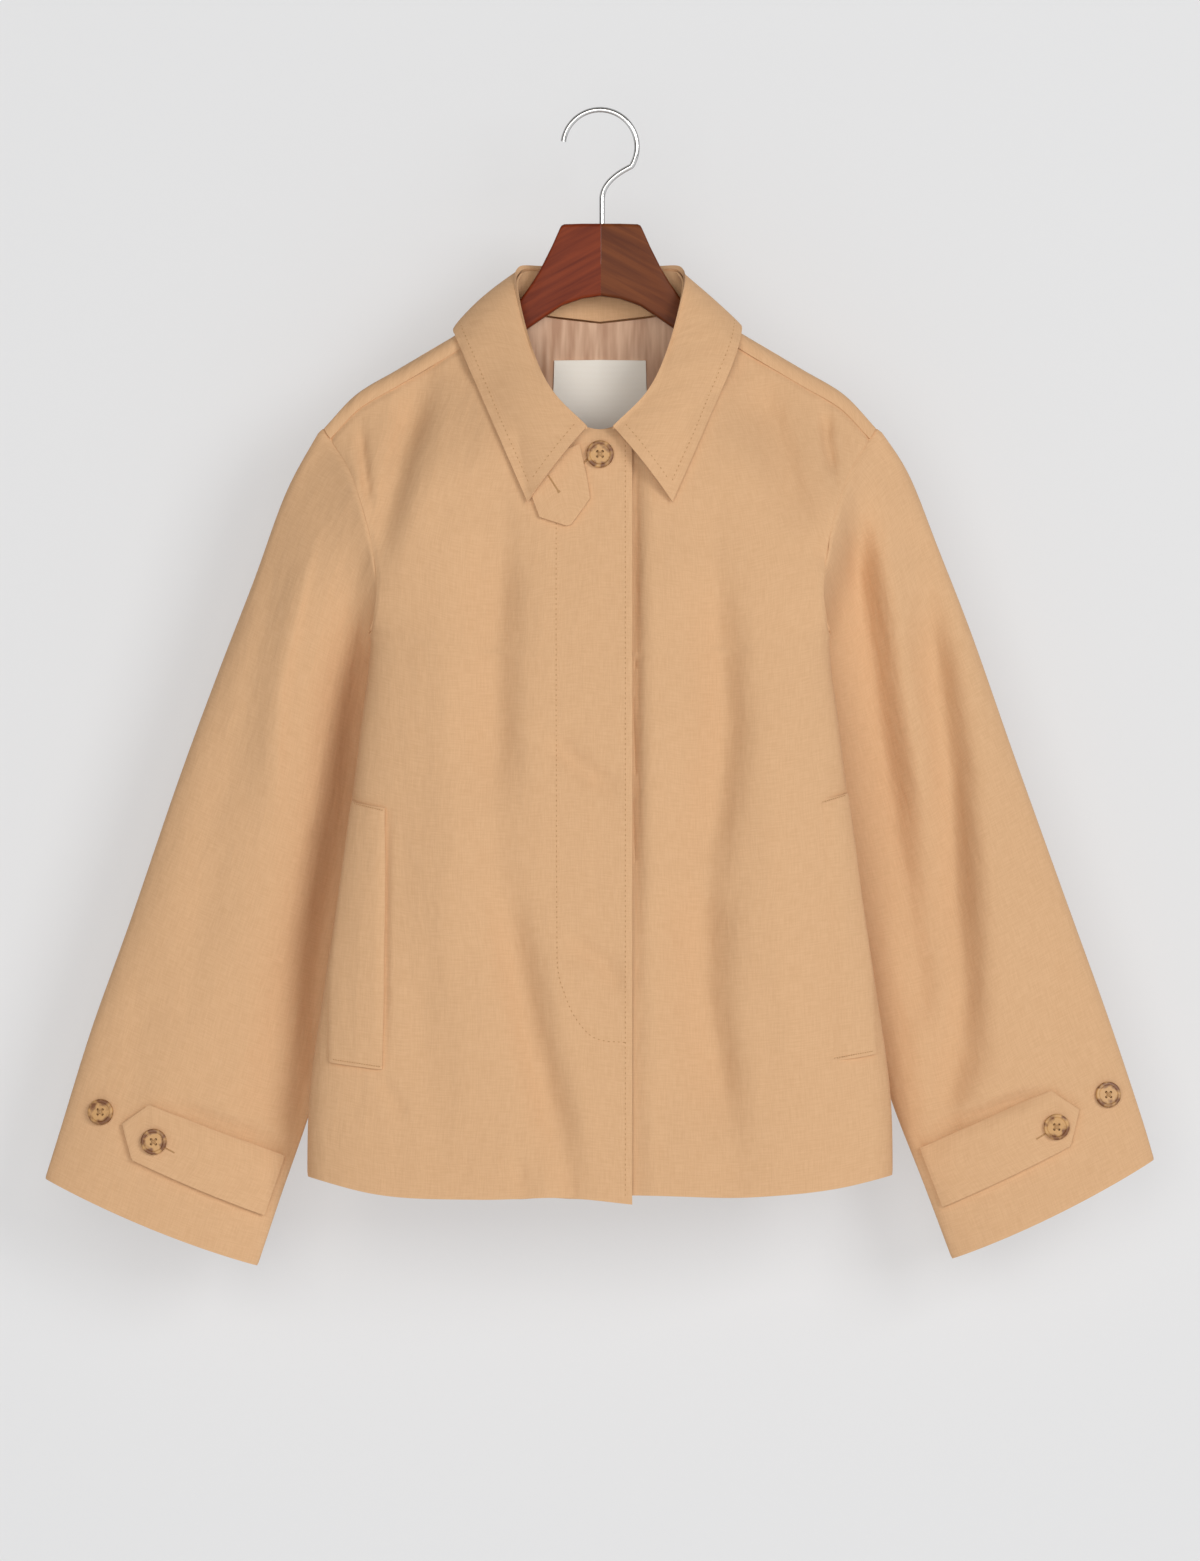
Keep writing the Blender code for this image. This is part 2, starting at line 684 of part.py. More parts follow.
def cloth(name, outer, inner, material, ring=False, flaps=()):
    """A closed cloth wall between an outer and an inner grid; flaps grow from the first row."""
    rows, columns = outer.shape[:2]
    quads = grid_quads(rows, columns, ring)
    outer_points = list(outer.reshape(-1, 3))
    inner_points = list(inner.reshape(-1, 3))
    for first, flap_outer, flap_inner in flaps:
        below = list(range(first, first + flap_outer.shape[1]))
        for line_outer, line_inner in zip(flap_outer, flap_inner):
            above = list(range(len(outer_points), len(outer_points) + len(below)))
            outer_points.extend(line_outer)
            inner_points.extend(line_inner)
            for j in range(len(below) - 1):
                quads.append((above[j], above[j + 1], below[j + 1], below[j]))
            below = above
    count = len(outer_points)
    edges = {(q[k], q[(k + 1) % 4]) for q in quads for k in range(4)}
    faces = list(quads)
    faces += [tuple(count + k for k in reversed(q)) for q in quads]
    faces += [(j, i, i + count, j + count) for i, j in sorted(edges) if (j, i) not in edges]
    points = np.array(outer_points + inner_points)
    corner = points[np.array(quads)]
    facing = np.cross(corner[:, 1] - corner[:, 0], corner[:, 3] - corner[:, 0])
    wall = points[:count][np.array(quads)[:, 0]] - points[count:][np.array(quads)[:, 0]]
    if np.sum(facing * wall) < 0:
        faces = [tuple(reversed(face)) for face in faces]
    mesh = bpy.data.meshes.new(name)
    mesh.from_pydata((points * MM).tolist(), [], faces)
    mesh.update()
    return add_object(name, mesh, material)


def button(name, seat, normal, width, material):
    """A flat round button with softened edges, standing on its seat."""
    work = bmesh.new()
    radius = width / 2 * MM
    bmesh.ops.create_cone(
        work, cap_ends=True, segments=18, radius1=radius, radius2=radius, depth=BUTTON_THICK * MM
    )
    rims = [e for e in work.edges if abs(e.verts[0].co.z - e.verts[1].co.z) < MM * 0.01]
    bmesh.ops.bevel(work, geom=rims, offset=BUTTON_EDGE * MM, segments=1, affect="EDGES", profile=0.5)
    mesh = bpy.data.meshes.new(name)
    work.to_mesh(mesh)
    work.free()
    item = add_object(name, mesh, material)
    out = Vector(normal)
    item.rotation_euler = out.to_track_quat("Z", "Y").to_euler()
    item.location = (Vector(seat) + out * (BUTTON_THICK / 2 + BUTTON_GAP)) * MM
    return item


def hanger_half(name, side, material, points=12):
    """One wooden half of the hanger: rounded upright sections from its middle to its tip."""
    squareness = 0.7
    turn = 2 * np.pi * (np.arange(points) + 0.5) / points
    across = np.sign(np.cos(turn)) * np.abs(np.cos(turn)) ** squareness
    upward = np.sign(np.sin(turn)) * np.abs(np.sin(turn)) ** squareness
    work = bmesh.new()
    rings = []
    for x, top, bottom, half in zip(*HANGER.values()):
        tall = (bottom - top) / 2
        ring = []
        for a, u in zip(across, upward):
            place = Vector((HANGER_JOINT + side * x, half * a, u * tall - (top + bottom) / 2))
            ring.append(work.verts.new(place * MM))
        rings.append(ring)
    for inner, outer in zip(rings, rings[1:]):
        for k in range(points):
            n = (k + 1) % points
            work.faces.new((inner[k], inner[n], outer[n], outer[k]))
    work.faces.new(rings[0])
    work.faces.new(rings[-1])
    bmesh.ops.recalc_face_normals(work, faces=work.faces)
    mesh = bpy.data.meshes.new(name)
    work.to_mesh(mesh)
    work.free()
    return add_object(name, mesh, material)


def hook_wire(name, material, steps=22, bend_steps=8):
    """The hook: an arc over the hanging point, a swept bend and an upright stem."""
    radius = WIRE / 2
    centre = np.array((0, radius - HOOK_RADIUS))
    turns = np.radians(np.linspace(172, -32, steps))
    points = [centre + HOOK_RADIUS * np.array((math.cos(turn), math.sin(turn))) for turn in turns]
    start = points[-1]
    corner = np.array((STEM_X, -50.0))
    end = np.array((STEM_X, -64.0))
    for f in np.linspace(0, 1, bend_steps + 1)[1:]:
        points.append((1 - f) ** 2 * start + 2 * f * (1 - f) * corner + f**2 * end)
    points.append(np.array((STEM_X, -HANGER_TOP - STEM_SEAT)))
    curve = bpy.data.curves.new(name, "CURVE")
    curve.dimensions = "3D"
    curve.bevel_depth = radius * MM
    curve.bevel_resolution = 2
    curve.use_fill_caps = True
    spline = curve.splines.new("POLY")
    spline.points.add(len(points) - 1)
    for point, (x, z) in zip(spline.points, points):
        point.co = (x * MM, 0, z * MM, 1)
    curve.materials.append(material)
    item = bpy.data.objects.new(name, curve)
    bpy.context.scene.collection.objects.link(item)
    return item


def shoulder_flaps(turn, drop, inside):
    """Strips that carry the back over the ridge to the forward shoulder seam, one a side."""

    def surface(ridge_turn, below):
        x = np.sin(ridge_turn) * body_half(drop_of_ridge)
        tip = ease((np.abs(x) - TIP_START) / (ARMHOLE["x"][0] - TIP_START))
        down = below * (1 - TIP_RISE * tip)
        x = x - np.sign(x) * TIP_LEAN * down * tip
        at = drop_of_ridge + down
        return np.stack([x, body_y(x, at, -1), -at], axis=-1)

    strips = []
    x = np.sin(turn[0]) * body_half(drop[0])
    for chosen in (x < -FLAP_START, x > FLAP_START):
        columns = np.flatnonzero(chosen)
        drop_of_ridge = drop[0][columns][None, :]
        below = np.array([0.12, 0.45, 1])[:, None] * (SHOULDER_SEAM - 2 * SEAM)
        ridge_turn = turn[0][columns][None, :] + 0 * below
        (outer, inner), _ = raised(surface, ridge_turn, below + 0 * ridge_turn, (0, -CLOTH), inside)
        strips.append((columns[0], outer, inner))
    return strips


def build_body(shell, satin, cream):
    """Fronts, back, lining and label."""
    middle = (0, -8, -500)
    for name, side, hem, rows in (
        ("front_right", -1, HEM_RIGHT, FOLDS_RIGHT),
        ("front_left", 1, HEM_LEFT, FOLDS_LEFT),
    ):
        turn, drop = front_places(side, hem)
        (outer, inner), _ = raised(front_surface(side, rows), turn, drop, (0, -CLOTH), middle)
        cloth(name, outer, inner, shell)
    turn, drop = back_places()
    (outer, inner), _ = raised(back_surface, turn, drop, (0, -CLOTH), middle)
    cloth("back", outer, inner, shell, flaps=shoulder_flaps(turn, drop, middle))
    lining_top = -CLOTH - LINING_GAP
    label_top = lining_top - LINING - LABEL_GAP
    label_edge = table("x drop", (0, LABEL_DROP), (35, LABEL_DROP))
    for name, places, depth, material in (
        ("lining_back", inner_places(56, 64, LINING_TOP, 330, 10, 12), lining_top, satin),
        ("neck_label", inner_places(35, 35, label_edge, 235, 4, 8), label_top, cream),
    ):
        (outer, inner), _ = raised(back_surface, *places, (depth, depth - LINING), middle)
        cloth(name, outer, inner, material)


def build_sleeves(shell, horn):
    """Sleeves with their straps and buttons, and the pocket welts beside them."""
    middle = (0, -8, -500)
    for word, side, rows, sleeve_folds, front_folds, welt in (
        ("right", -1, SLEEVE_RIGHT, FOLDS_SLEEVE_RIGHT, FOLDS_RIGHT, WELT_RIGHT),
        ("left", 1, SLEEVE_LEFT, FOLDS_SLEEVE_LEFT, FOLDS_LEFT, WELT_LEFT),
    ):
        surface = sleeve_surface(side, rows, sleeve_folds)
        t, turn = sleeve_places()
        inside = surface(t, turn).mean(axis=(0, 1))
        (outer, inner), _ = raised(surface, t, turn, (0, -CLOTH), inside)
        cloth("sleeve_" + word, outer, inner, shell, ring=True)
        cuff = outer[-4:].mean(axis=(0, 1))
        (outer, inner), _ = raised(surface, *strap_places(rows), (ON_PANEL, ON_PANEL - CLOTH), cuff)
        cloth("cuff_strap_" + word, outer, inner, shell)
        front = front_surface(side, front_folds)
        (outer, inner), _ = raised(front, *welt_places(welt), (ON_PANEL, ON_PANEL - CLOTH), middle)
        cloth("pocket_welt_" + word, outer, inner, shell)
        for number, across, rise, height in CUFF_BUTTONS[word]:
            t = rise_to_t(rows, np.array([rise]))
            (seat,), normal = raised(surface, t, np.arccos([across]), (height,), cuff)
            button(f"button_cuff_{word}_{number}", seat[0], normal[0], CUFF_BUTTON, horn)


def build_collar(shell, horn):
    """Stand, fall, tab and collar button."""
    middle = (0, -8, -500)
    neck = (0, -8, -190)
    cloth("collar_stand", *grid_wall(stand_grid(), neck, CLOTH), shell)
    cloth("collar_fall", *grid_wall(fall_grid(), neck, CLOTH), shell)
    front = front_surface(-1, FOLDS_RIGHT)
    (outer, inner), _ = raised(front, *tab_places(), (ON_PANEL, ON_PANEL - CLOTH), middle)
    cloth("throat_tab", outer, inner, shell)
    place = np.array([0.0]), np.array([COLLAR_BUTTON_DROP])
    (seat,), normal = raised(front, *place, (0,), middle)
    button("button_collar", seat[0], normal[0], COLLAR_BUTTON, horn)


def build():
    """Make every piece of the coat and its hanger."""
    shell = finish_material("tan cotton", CLOTH_TAN, 0.9)
    satin = finish_material("rose satin lining", LINING_ROSE, 0.5)
    cream = finish_material("cream label", LABEL_CREAM, 0.8)
    horn = finish_material("brown horn", HORN_BROWN, 0.35)
    wood = finish_material("red brown wood", WOOD_RED, 0.35)
    metal = finish_material("chromed wire", CHROME, 0.15, 1.0)
    build_body(shell, satin, cream)
    build_sleeves(shell, horn)
    build_collar(shell, horn)
    hanger_half("hanger_arm_right", -1, wood)
    hanger_half("hanger_arm_left", 1, wood)
    hook_wire("hook", metal)


build()
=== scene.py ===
"""Looks of a short car coat on its wooden hanger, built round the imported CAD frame.

Tables are in millimetres, as in the part's source: the origin is the inner top of the hook,
+Z is up, the coat's front faces -Y and a drop is a distance below the origin. Left and right
are the wearer's, so the right side lies at -X. Meshes are in metres.
"""

import math

import bpy
import numpy as np
from mathutils import Matrix, Vector


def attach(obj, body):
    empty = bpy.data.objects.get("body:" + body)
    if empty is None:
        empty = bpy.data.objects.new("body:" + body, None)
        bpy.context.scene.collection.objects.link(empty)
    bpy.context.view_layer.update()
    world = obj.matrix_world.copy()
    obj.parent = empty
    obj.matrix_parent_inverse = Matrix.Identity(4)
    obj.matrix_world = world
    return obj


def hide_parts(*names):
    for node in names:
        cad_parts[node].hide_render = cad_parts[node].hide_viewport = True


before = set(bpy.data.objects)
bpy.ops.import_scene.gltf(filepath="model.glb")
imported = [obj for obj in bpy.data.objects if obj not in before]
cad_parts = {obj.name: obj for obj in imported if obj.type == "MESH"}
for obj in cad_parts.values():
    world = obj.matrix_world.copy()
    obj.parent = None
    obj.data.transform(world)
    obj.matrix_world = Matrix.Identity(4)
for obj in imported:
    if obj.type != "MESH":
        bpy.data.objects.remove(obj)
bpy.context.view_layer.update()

bl_info = {
    "name": "Car coat on a hanger",
    "version": (1, 0, 0),
    "blender": (4, 5, 0),
    "location": "View3D > Sidebar > Coat",
    "description": "Makes the cloth, trims, buttons, hanger and stage of a hung car coat",
    "category": "Object",
}

MM = 0.001
BODY_MIDDLE = (0, -8, -500)
NECK_MIDDLE = (0, -8, -190)

# Driving dimensions
CLOTH = 1.5
LAYERS_APART = 6.0
LINING = 1.0
SEAM = 0.6
LAYER = 4.0
LAYER_START = 40.0
LAYER_REACH = 15.0
ON_PANEL = CLOTH + 0.8
OVERLAP = 23.5
UNDERLAP = 25.0
NECK_FRONT = 236.0
NECK_BACK = 154.0
ROUNDNESS = 2.9
RIDGE_RADIUS = 9.0
SHOULDER_FALL = 110.0
SHOULDER_SEAM = 13.0
TIP_START = 170.0
TIP_RISE = 0.36
TIP_LEAN = 0.6
FLAP_START = 72.0
UNDERARM = 384.0
ARMHOLE_SHARE = 0.3
ARMPIT_TUCK = 3.0
ARMPIT_DEEPEN = 3.5
SLEEVE_TUCK = 5.0
SLEEVE_FADE = 0.34
CREASE_FADE = 0.16
BACK_FADE = 60.0
CUFF_BOW = 4.5
CUFF_RINGS = 40
SIDE_TURN = math.pi / 2 - 0.0002
COLLAR_CLEAR = 3.4
COLLAR_BULGE = 7.0
RIGHT_BULGE = 0.5
LEFT_BULGE = 0.15
ROLL_EDGE = 1.9
ROLL_RISE = 3.4
ROLL_OUT = 2.2
LINING_GAP = 3.2
LABEL_GAP = 0.8
TRIM_FOOT = 0.9
TAB_LIFT = 0.9
WELT_LIFT = 0.6
STRAP_LIFT = 1.6
WELT_SLANT = 5.0
STRAP_WIDTH = 43.0
STRAP_RISE = 67.0
STRAP_INNER = -0.9
STRAP_TIP = 0.5
STRAP_SLOPE = 14.0
CUFF_BUTTON = 19.0
COLLAR_BUTTON = 20.0
COLLAR_BUTTON_DROP = 252.5
BUTTON_GAP = 0.3
BUTTON_HEIGHT = 3.0
BUTTON_DISH = 0.55
BUTTON_RIM = 2.1
BUTTON_SLOPE = 0.7
BUTTON_ROUND = 0.9
HOLE_SPREAD = 1.75
HOLE_RADIUS = 0.95
STRAND_RADIUS = 0.36
WIRE = 4.0
HOOK_RADIUS = 27.2
STEM_X = 1.5
STEM_SEAT = 0.3
HANGER_JOINT = 0.7
HANGER_TOP = 82.0
BOARD_ROUND = 2.2

# Looks: the wave bands' spacing at scale 1 and the label's, in metres, and the wall's own light
BAND_SCALE = 0.314
LABEL_RIB = 0.0009
WALL_SHADE = 0.45
WALL_GLOW = 0.46

# The camera's height, and how far the plane that sets the picture's scale lies before the origin
EYE_LEVEL = -0.491
COAT_FRONT = 0.008


def table(columns, *rows):
    """Turn rows of numbers into named columns."""
    names = columns.split()
    return {name: np.array([row[i] for row in rows], float) for i, name in enumerate(names)}


# The coat's shoulder ridge, from the middle of the neck out past the shoulder tip
RIDGE = table(
    "x drop",
    (0, 90),
    (40, 108),
    (70, 140),
    (105, 163),
    (148, 188.5),
    (179, 206.5),
    (203, 230.5),
    (214, 249),
)

# The body's section at each drop: half its width, and how far its front and back stand
# from the line through its two sides
BODY = table(
    "drop half side_y front back",
    (150, 262, 0, 40, 34),
    (236, 250, 0, 40, 34),
    (280, 226, -3, 40, 36),
    (320, 202, -6, 40, 38),
    (355, 183, -9, 40, 39),
    (385, 169, -11, 40, 40),
    (405, 169.5, -12, 40, 40),
    (440, 174, -13, 40, 41),
    (512, 183, -14, 40, 42),
    (640, 202, -15, 40, 42),
    (720, 213, -15, 41, 42),
    (805, 215, -15, 42, 42),
)

# The armhole, the same in front and behind, from the shoulder tip to the underarm
ARMHOLE = table(
    "part x drop",
    (0.00, 203, 232),
    (0.06, 198, 240.5),
    (0.20, 186, 259),
    (0.38, 175, 286),
    (0.60, 166.5, 321),
    (0.80, 164, 352),
    (1.00, 169, 384),
)

# A front's upper edge, from its centre edge along the neck and out along the shoulder seam
FRONT_TOP = table(
    "part x drop",
    (0.00, -24, 236),
    (0.14, 10, 236),
    (0.21, 28, 226),
    (0.29, 45, 210),
    (0.36, 57, 189),
    (0.43, 67, 169),
    (0.50, 75, 157.5),
    (0.62, 105, 176),
    (0.79, 148, 201.5),
    (0.91, 179, 221),
    (1.00, 198, 240.5),
)

# The back's neck edge from its middle to the ridge, then its shoulder
BACK_TOP = table(
    "part x drop",
    (0.00, 0, 154),
    (0.16, 25, 152),
    (0.30, 60, 145.5),
    (0.40, 74, 143.3),
    (0.58, 105, 163),
    (0.76, 148, 188.5),
    (0.88, 179, 207),
    (1.00, 203, 232),
)

# Each hem, from the centre to the side
HEM_RIGHT = table("x drop", (-24, 800.5), (20, 796), (88, 797), (166, 793), (215, 781))
HEM_LEFT = table("x drop", (-25, 794), (29, 794), (117, 795), (175, 789), (215, 780))
HEM_BACK = table("x drop", (0, 795), (60, 794), (120, 791), (170, 787), (215, 780))

# Each sleeve's outer and inner edge seen from the front, the place of its middle from front
# to back, and its half depths, a row for each section from armhole to cuff
SLEEVE_COLUMNS = "out_x out_drop in_x in_drop mid_y front back"
SLEEVE_RIGHT = table(
    SLEEVE_COLUMNS,
    (205, 235, 169, 384, -6, 26, 26),
    (231, 281, 166, 416, 10, 32, 28),
    (254.5, 343, 162, 462, 17, 30, 28),
    (280, 408, 165, 516, 21, 28, 27),
    (310, 489, 175, 578, 22, 26, 26),
    (345.5, 593, 196, 656, 18, 24, 26),
    (374.5, 674, 209, 720, 18, 21, 24),
    (398, 750, 236, 800, 16, 18, 21),
    (408.5, 784, 252, 848, 14, 17, 20),
)
SLEEVE_LEFT = table(
    SLEEVE_COLUMNS,
    (203, 232, 169, 384, -6, 26, 26),
    (226, 266, 166, 416, 10, 32, 28),
    (248, 318, 162, 462, 17, 30, 28),
    (273, 381, 165, 516, 21, 28, 27),
    (305, 472, 175, 578, 22, 26, 26),
    (340, 570, 196, 656, 18, 24, 26),
    (373.5, 663, 212, 719, 18, 21, 24),
    (397.5, 735, 239.5, 791, 16, 18, 21),
    (408, 770, 259, 843, 14, 17, 20),
)

# The collar, from its middle behind (turn 0) round to a front end (turn 1): its seam on the
# neck, which follows the body's back (face 1) or front (face -1), its roll line and its edge
NECK_SEAM = table(
    "turn x drop face",
    (0.00, 0, 154, 1),
    (0.22, 38, 150, 1),
    (0.40, 62, 145, 1),
    (0.48, 72, 141.5, 0),
    (0.56, 73, 155, -1),
    (0.70, 61, 181, -1),
    (0.85, 42, 213, -1),
    (1.00, 10, 237.5, -1),
)
ROLL = table(
    "turn x y drop",
    (0.00, 0, 20, 114.5),
    (0.25, 40, 16, 116),
    (0.45, 59, 4, 119),
    (0.60, 60.5, -13, 135),
    (0.75, 48, -30, 181),
    (0.88, 33, -41, 211),
    (1.00, 9.2, -46, 235.5),
)
OUTER = table(
    "turn x y drop",
    (0.00, 0, 40, 168),
    (0.25, 58, 30, 166),
    (0.42, 99, 12, 157),
    (0.50, 108, 0, 159),
    (0.58, 103, -13, 172),
    (0.79, 78, -30, 230),
    (1.00, 53, -46, 287.5),
)
OUTER_LEFT = table(
    "turn x y drop",
    (0.00, 0, 40, 168),
    (0.25, 58, 30, 166),
    (0.42, 95, 12, 157),
    (0.50, 104, 0, 156.5),
    (0.58, 102, -15, 171),
    (0.79, 78, -30, 230),
    (1.00, 53, -46, 287.5),
)

# The tab's left and right edge, from under the collar to its tip
TAB = table(
    "left_x left_drop right_x right_drop",
    (-55, 262, -15, 245),
    (-49, 285.5, -10, 268),
    (-44, 298.7, -7.3, 284.8),
    (-30, 303.2, -16, 297),
    (-24.5, 305, -21, 304),
)

# A pocket welt's front edge and its edge at the side, for each side of the coat
WELTS = {
    "right": table("drop near far", (511, 157, 181), (575, 158, 190), (638, 159, 198), (702, 159, 198)),
    "left": table("drop near far", (505, 160, 181), (575, 163, 190), (638, 166, 199), (696, 169, 202)),
}

# The lining's and the label's upper edge, from the middle to the side
LINING_TOP = table("x drop", (0, 153), (38, 149), (46, 148), (56, 148))
LABEL_TOP = table("x drop", (0, 179.5), (35, 179.5))

# A half of the hanger, from its middle out: upper and lower edge and half its thickness
HANGER = table(
    "x top bottom half",
    (0.02, 82, 135, 7),
    (14, 82, 137, 7),
    (27, 82.4, 141.5, 7),
    (29, 83.4, 142.4, 7),
    (30, 85, 143, 7),
    (36, 98.5, 147, 7),
    (43.5, 113.5, 152, 6.8),
    (50, 124.5, 156.5, 6.3),
    (58, 136, 162, 5.8),
    (70, 149.5, 171, 5.2),
    (80, 156.5, 177, 6),
    (105, 170, 192, 6),
    (148, 195, 215, 6),
    (172, 210, 228, 6),
    (181, 219, 233, 5),
    (185, 225, 230, 3.5),
)

# Folds and creases: start, middle and end, half width, depth and how much wider
# the side of lower x is; a negative depth is a ridge
FOLD_COLUMNS = "x0 drop0 x1 drop1 x2 drop2 wide deep lean"
FOLDS_RIGHT = table(
    FOLD_COLUMNS,
    (-126, 198, -146, 256, -166, 338, 12, 11, 1.3),
    (-104, 200, -124, 258, -144, 340, 18, -2, 1),
    (-176, 226, -173, 262, -168, 296, 4.5, 5, 1),
    (-152, 214, -156, 250, -158, 284, 8, -2, 1),
    (-72, 300, -78, 400, -78, 530, 16, 12, 2),
    (-98, 320, -104, 470, -110, 650, 24, -5, 1),
    (-74, 555, -52, 669, -20, 790, 15, 11, 1),
    (-46, 600, -26, 690, -4, 790, 14, -2, 1),
    (-42, 457, -14, 480, 18, 505, 8, 4.5, 1),
    (-32, 602, 4, 626, 18, 649, 8, 4, 1),
    (-162, 706, -152, 722, -142, 738, 6, 2.5, 1),
    (-155.6, 512, -156.4, 600, -157, 698, 2.6, 2.2, 1),
    (-60, 766, -57, 784, -55, 798, 6, 2, 1),
    (-41, 770, -39, 786, -38, 798, 5, -1.6, 1),
    (-25, 766, -23, 784, -21, 799, 6, 1.8, 1),
    (-134, 600, -126, 700, -122, 785, 18, 2.5, 1),
)
FOLDS_LEFT = table(
    FOLD_COLUMNS,
    (110, 193, 131, 247, 152, 318, 14, 9, 1.8),
    (90, 196, 110, 258, 132, 330, 15, -2, 1),
    (165, 217, 167, 244, 172, 272, 5, 5, 1),
    (160, 318, 164, 328, 168, 336, 6, 3, 1),
    (25, 240, 25, 420, 25, 640, 4.2, 4.5, 1),
    (60, 290, 64, 400, 62, 560, 20, -4, 1),
    (80, 320, 90, 450, 76, 580, 16, 15, 2.2),
    (76, 550, 77, 650, 98, 770, 16, 15, 1.8),
    (126, 400, 130, 540, 132, 740, 24, -5, 1),
    (118, 640, 124, 700, 128, 776, 14, 2, 1),
    (44, 690, 46, 740, 48, 792, 12, 1.8, 1),
)
FOLDS_BACK = table(
    FOLD_COLUMNS,
    (-60, 330, -72, 520, -84, 780, 24, 11, 1.5),
    (70, 360, 78, 540, 80, 780, 22, 10, 1),
    (-118, 380, -124, 470, -136, 600, 16, 7, 1),
    (122, 390, 132, 520, 142, 700, 18, 8, 1),
    (4, 420, -4, 560, 6, 780, 22, -4, 1),
)
FOLDS_SLEEVE_RIGHT = table(
    FOLD_COLUMNS,
    (-208, 306, -235, 425, -238, 520, 4, -4, 4),
    (-234, 300, -249, 400, -266, 500, 12, 2, 1),
    (-158, 335, -174, 510, -206, 720, 30, 42, 1),
    (-262, 420, -280, 520, -304, 660, 18, 3.5, 1),
    (-226, 600, -242, 690, -264, 780, 12, 2.5, 1),
    (-330, 640, -342, 690, -350, 744, 14, 2, 1),
    (-225, 763, -276, 744, -322, 726, 6, 4, 1),
)
FOLDS_SLEEVE_LEFT = table(
    FOLD_COLUMNS,
    (170, 240, 195, 390, 232, 640, 17, 36, 3.2),
    (234, 325, 255, 480, 268, 690, 15, 26, 2),
    (212, 330, 232, 430, 252, 560, 12, -2.5, 1),
    (268, 620, 262, 700, 252, 750, 13, 8, 1),
    (300, 500, 322, 600, 342, 700, 16, 2.5, 1),
    (226, 590, 240, 660, 254, 735, 10, 2.5, 1),
    (235, 752, 286, 734, 330, 717, 6, 6, 1),
)
FOLDS_LINING = table(
    FOLD_COLUMNS,
    (0, 155, 0, 240, 0, 330, 2.2, 1.6, 1),
    (-41, 155, -40, 200, -36, 260, 3.5, 1.8, 1),
    (-20, 165, -17, 220, -14, 300, 6, -0.8, 1),
    (24, 160, 26, 220, 24, 300, 7, 0.8, 1),
)

# For each side its X direction, and its sleeve's sections, folds and the front's folds beside it
SIDES = (("right", -1), ("left", 1))
SLEEVES = {
    "right": (SLEEVE_RIGHT, FOLDS_SLEEVE_RIGHT, FOLDS_RIGHT),
    "left": (SLEEVE_LEFT, FOLDS_SLEEVE_LEFT, FOLDS_LEFT),
}

# Each cuff's buttons: number, place across the sleeve, rise above the cuff and height of the seat
CUFF_BUTTONS = {
    "right": ((1, 0.2, STRAP_RISE - 5, ON_PANEL + STRAP_LIFT), (2, 0.71, STRAP_RISE + 3, 0)),
    "left": ((1, 0.27, STRAP_RISE - 6, ON_PANEL + STRAP_LIFT), (2, 0.78, STRAP_RISE + 2, 0)),
}


def smooth(stations, values, at):
    """Read a cubic curve through a table's rows."""
    slopes = np.gradient(values, stations)
    at = np.clip(at, stations[0], stations[-1])
    row = np.clip(np.searchsorted(stations, at) - 1, 0, len(stations) - 2)
    step = stations[row + 1] - stations[row]
    f = (at - stations[row]) / step
    start = (1 + 2 * f) * (1 - f) ** 2 * values[row] + f * (1 - f) ** 2 * step * slopes[row]
    end = f**2 * (3 - 2 * f) * values[row + 1] + f**2 * (f - 1) * step * slopes[row + 1]
    return start + end


def ease(f):
    """Rise from 0 to 1 with a level start and end."""
    f = np.clip(f, 0, 1)
    return f * f * (3 - 2 * f)


def body_half(drop):
    """Half the body's width at a drop."""
    return smooth(BODY["drop"], BODY["half"], drop)


def body_y(x, drop, face):
    """Front (-1) or back (+1) of the body: rounded over the hanger and closed at the sides."""
    below = np.maximum(drop - smooth(RIDGE["x"], RIDGE["drop"], np.abs(x)), 0)
    front = smooth(BODY["drop"], BODY["front"], drop)
    back = smooth(BODY["drop"], BODY["back"], drop)
    depth = np.where(np.asarray(face) < 0, front, back)
    rounded = RIDGE_RADIUS * np.sqrt(1 - (1 - np.minimum(below / RIDGE_RADIUS, 1)) ** 2)
    full = rounded + (depth - RIDGE_RADIUS) * ease(below / SHOULDER_FALL)
    across = np.minimum(np.abs(x) / body_half(drop), 1)
    closing = (1 - across**ROUNDNESS) ** (1 / ROUNDNESS)
    return smooth(BODY["drop"], BODY["side_y"], drop) + face * closing * full


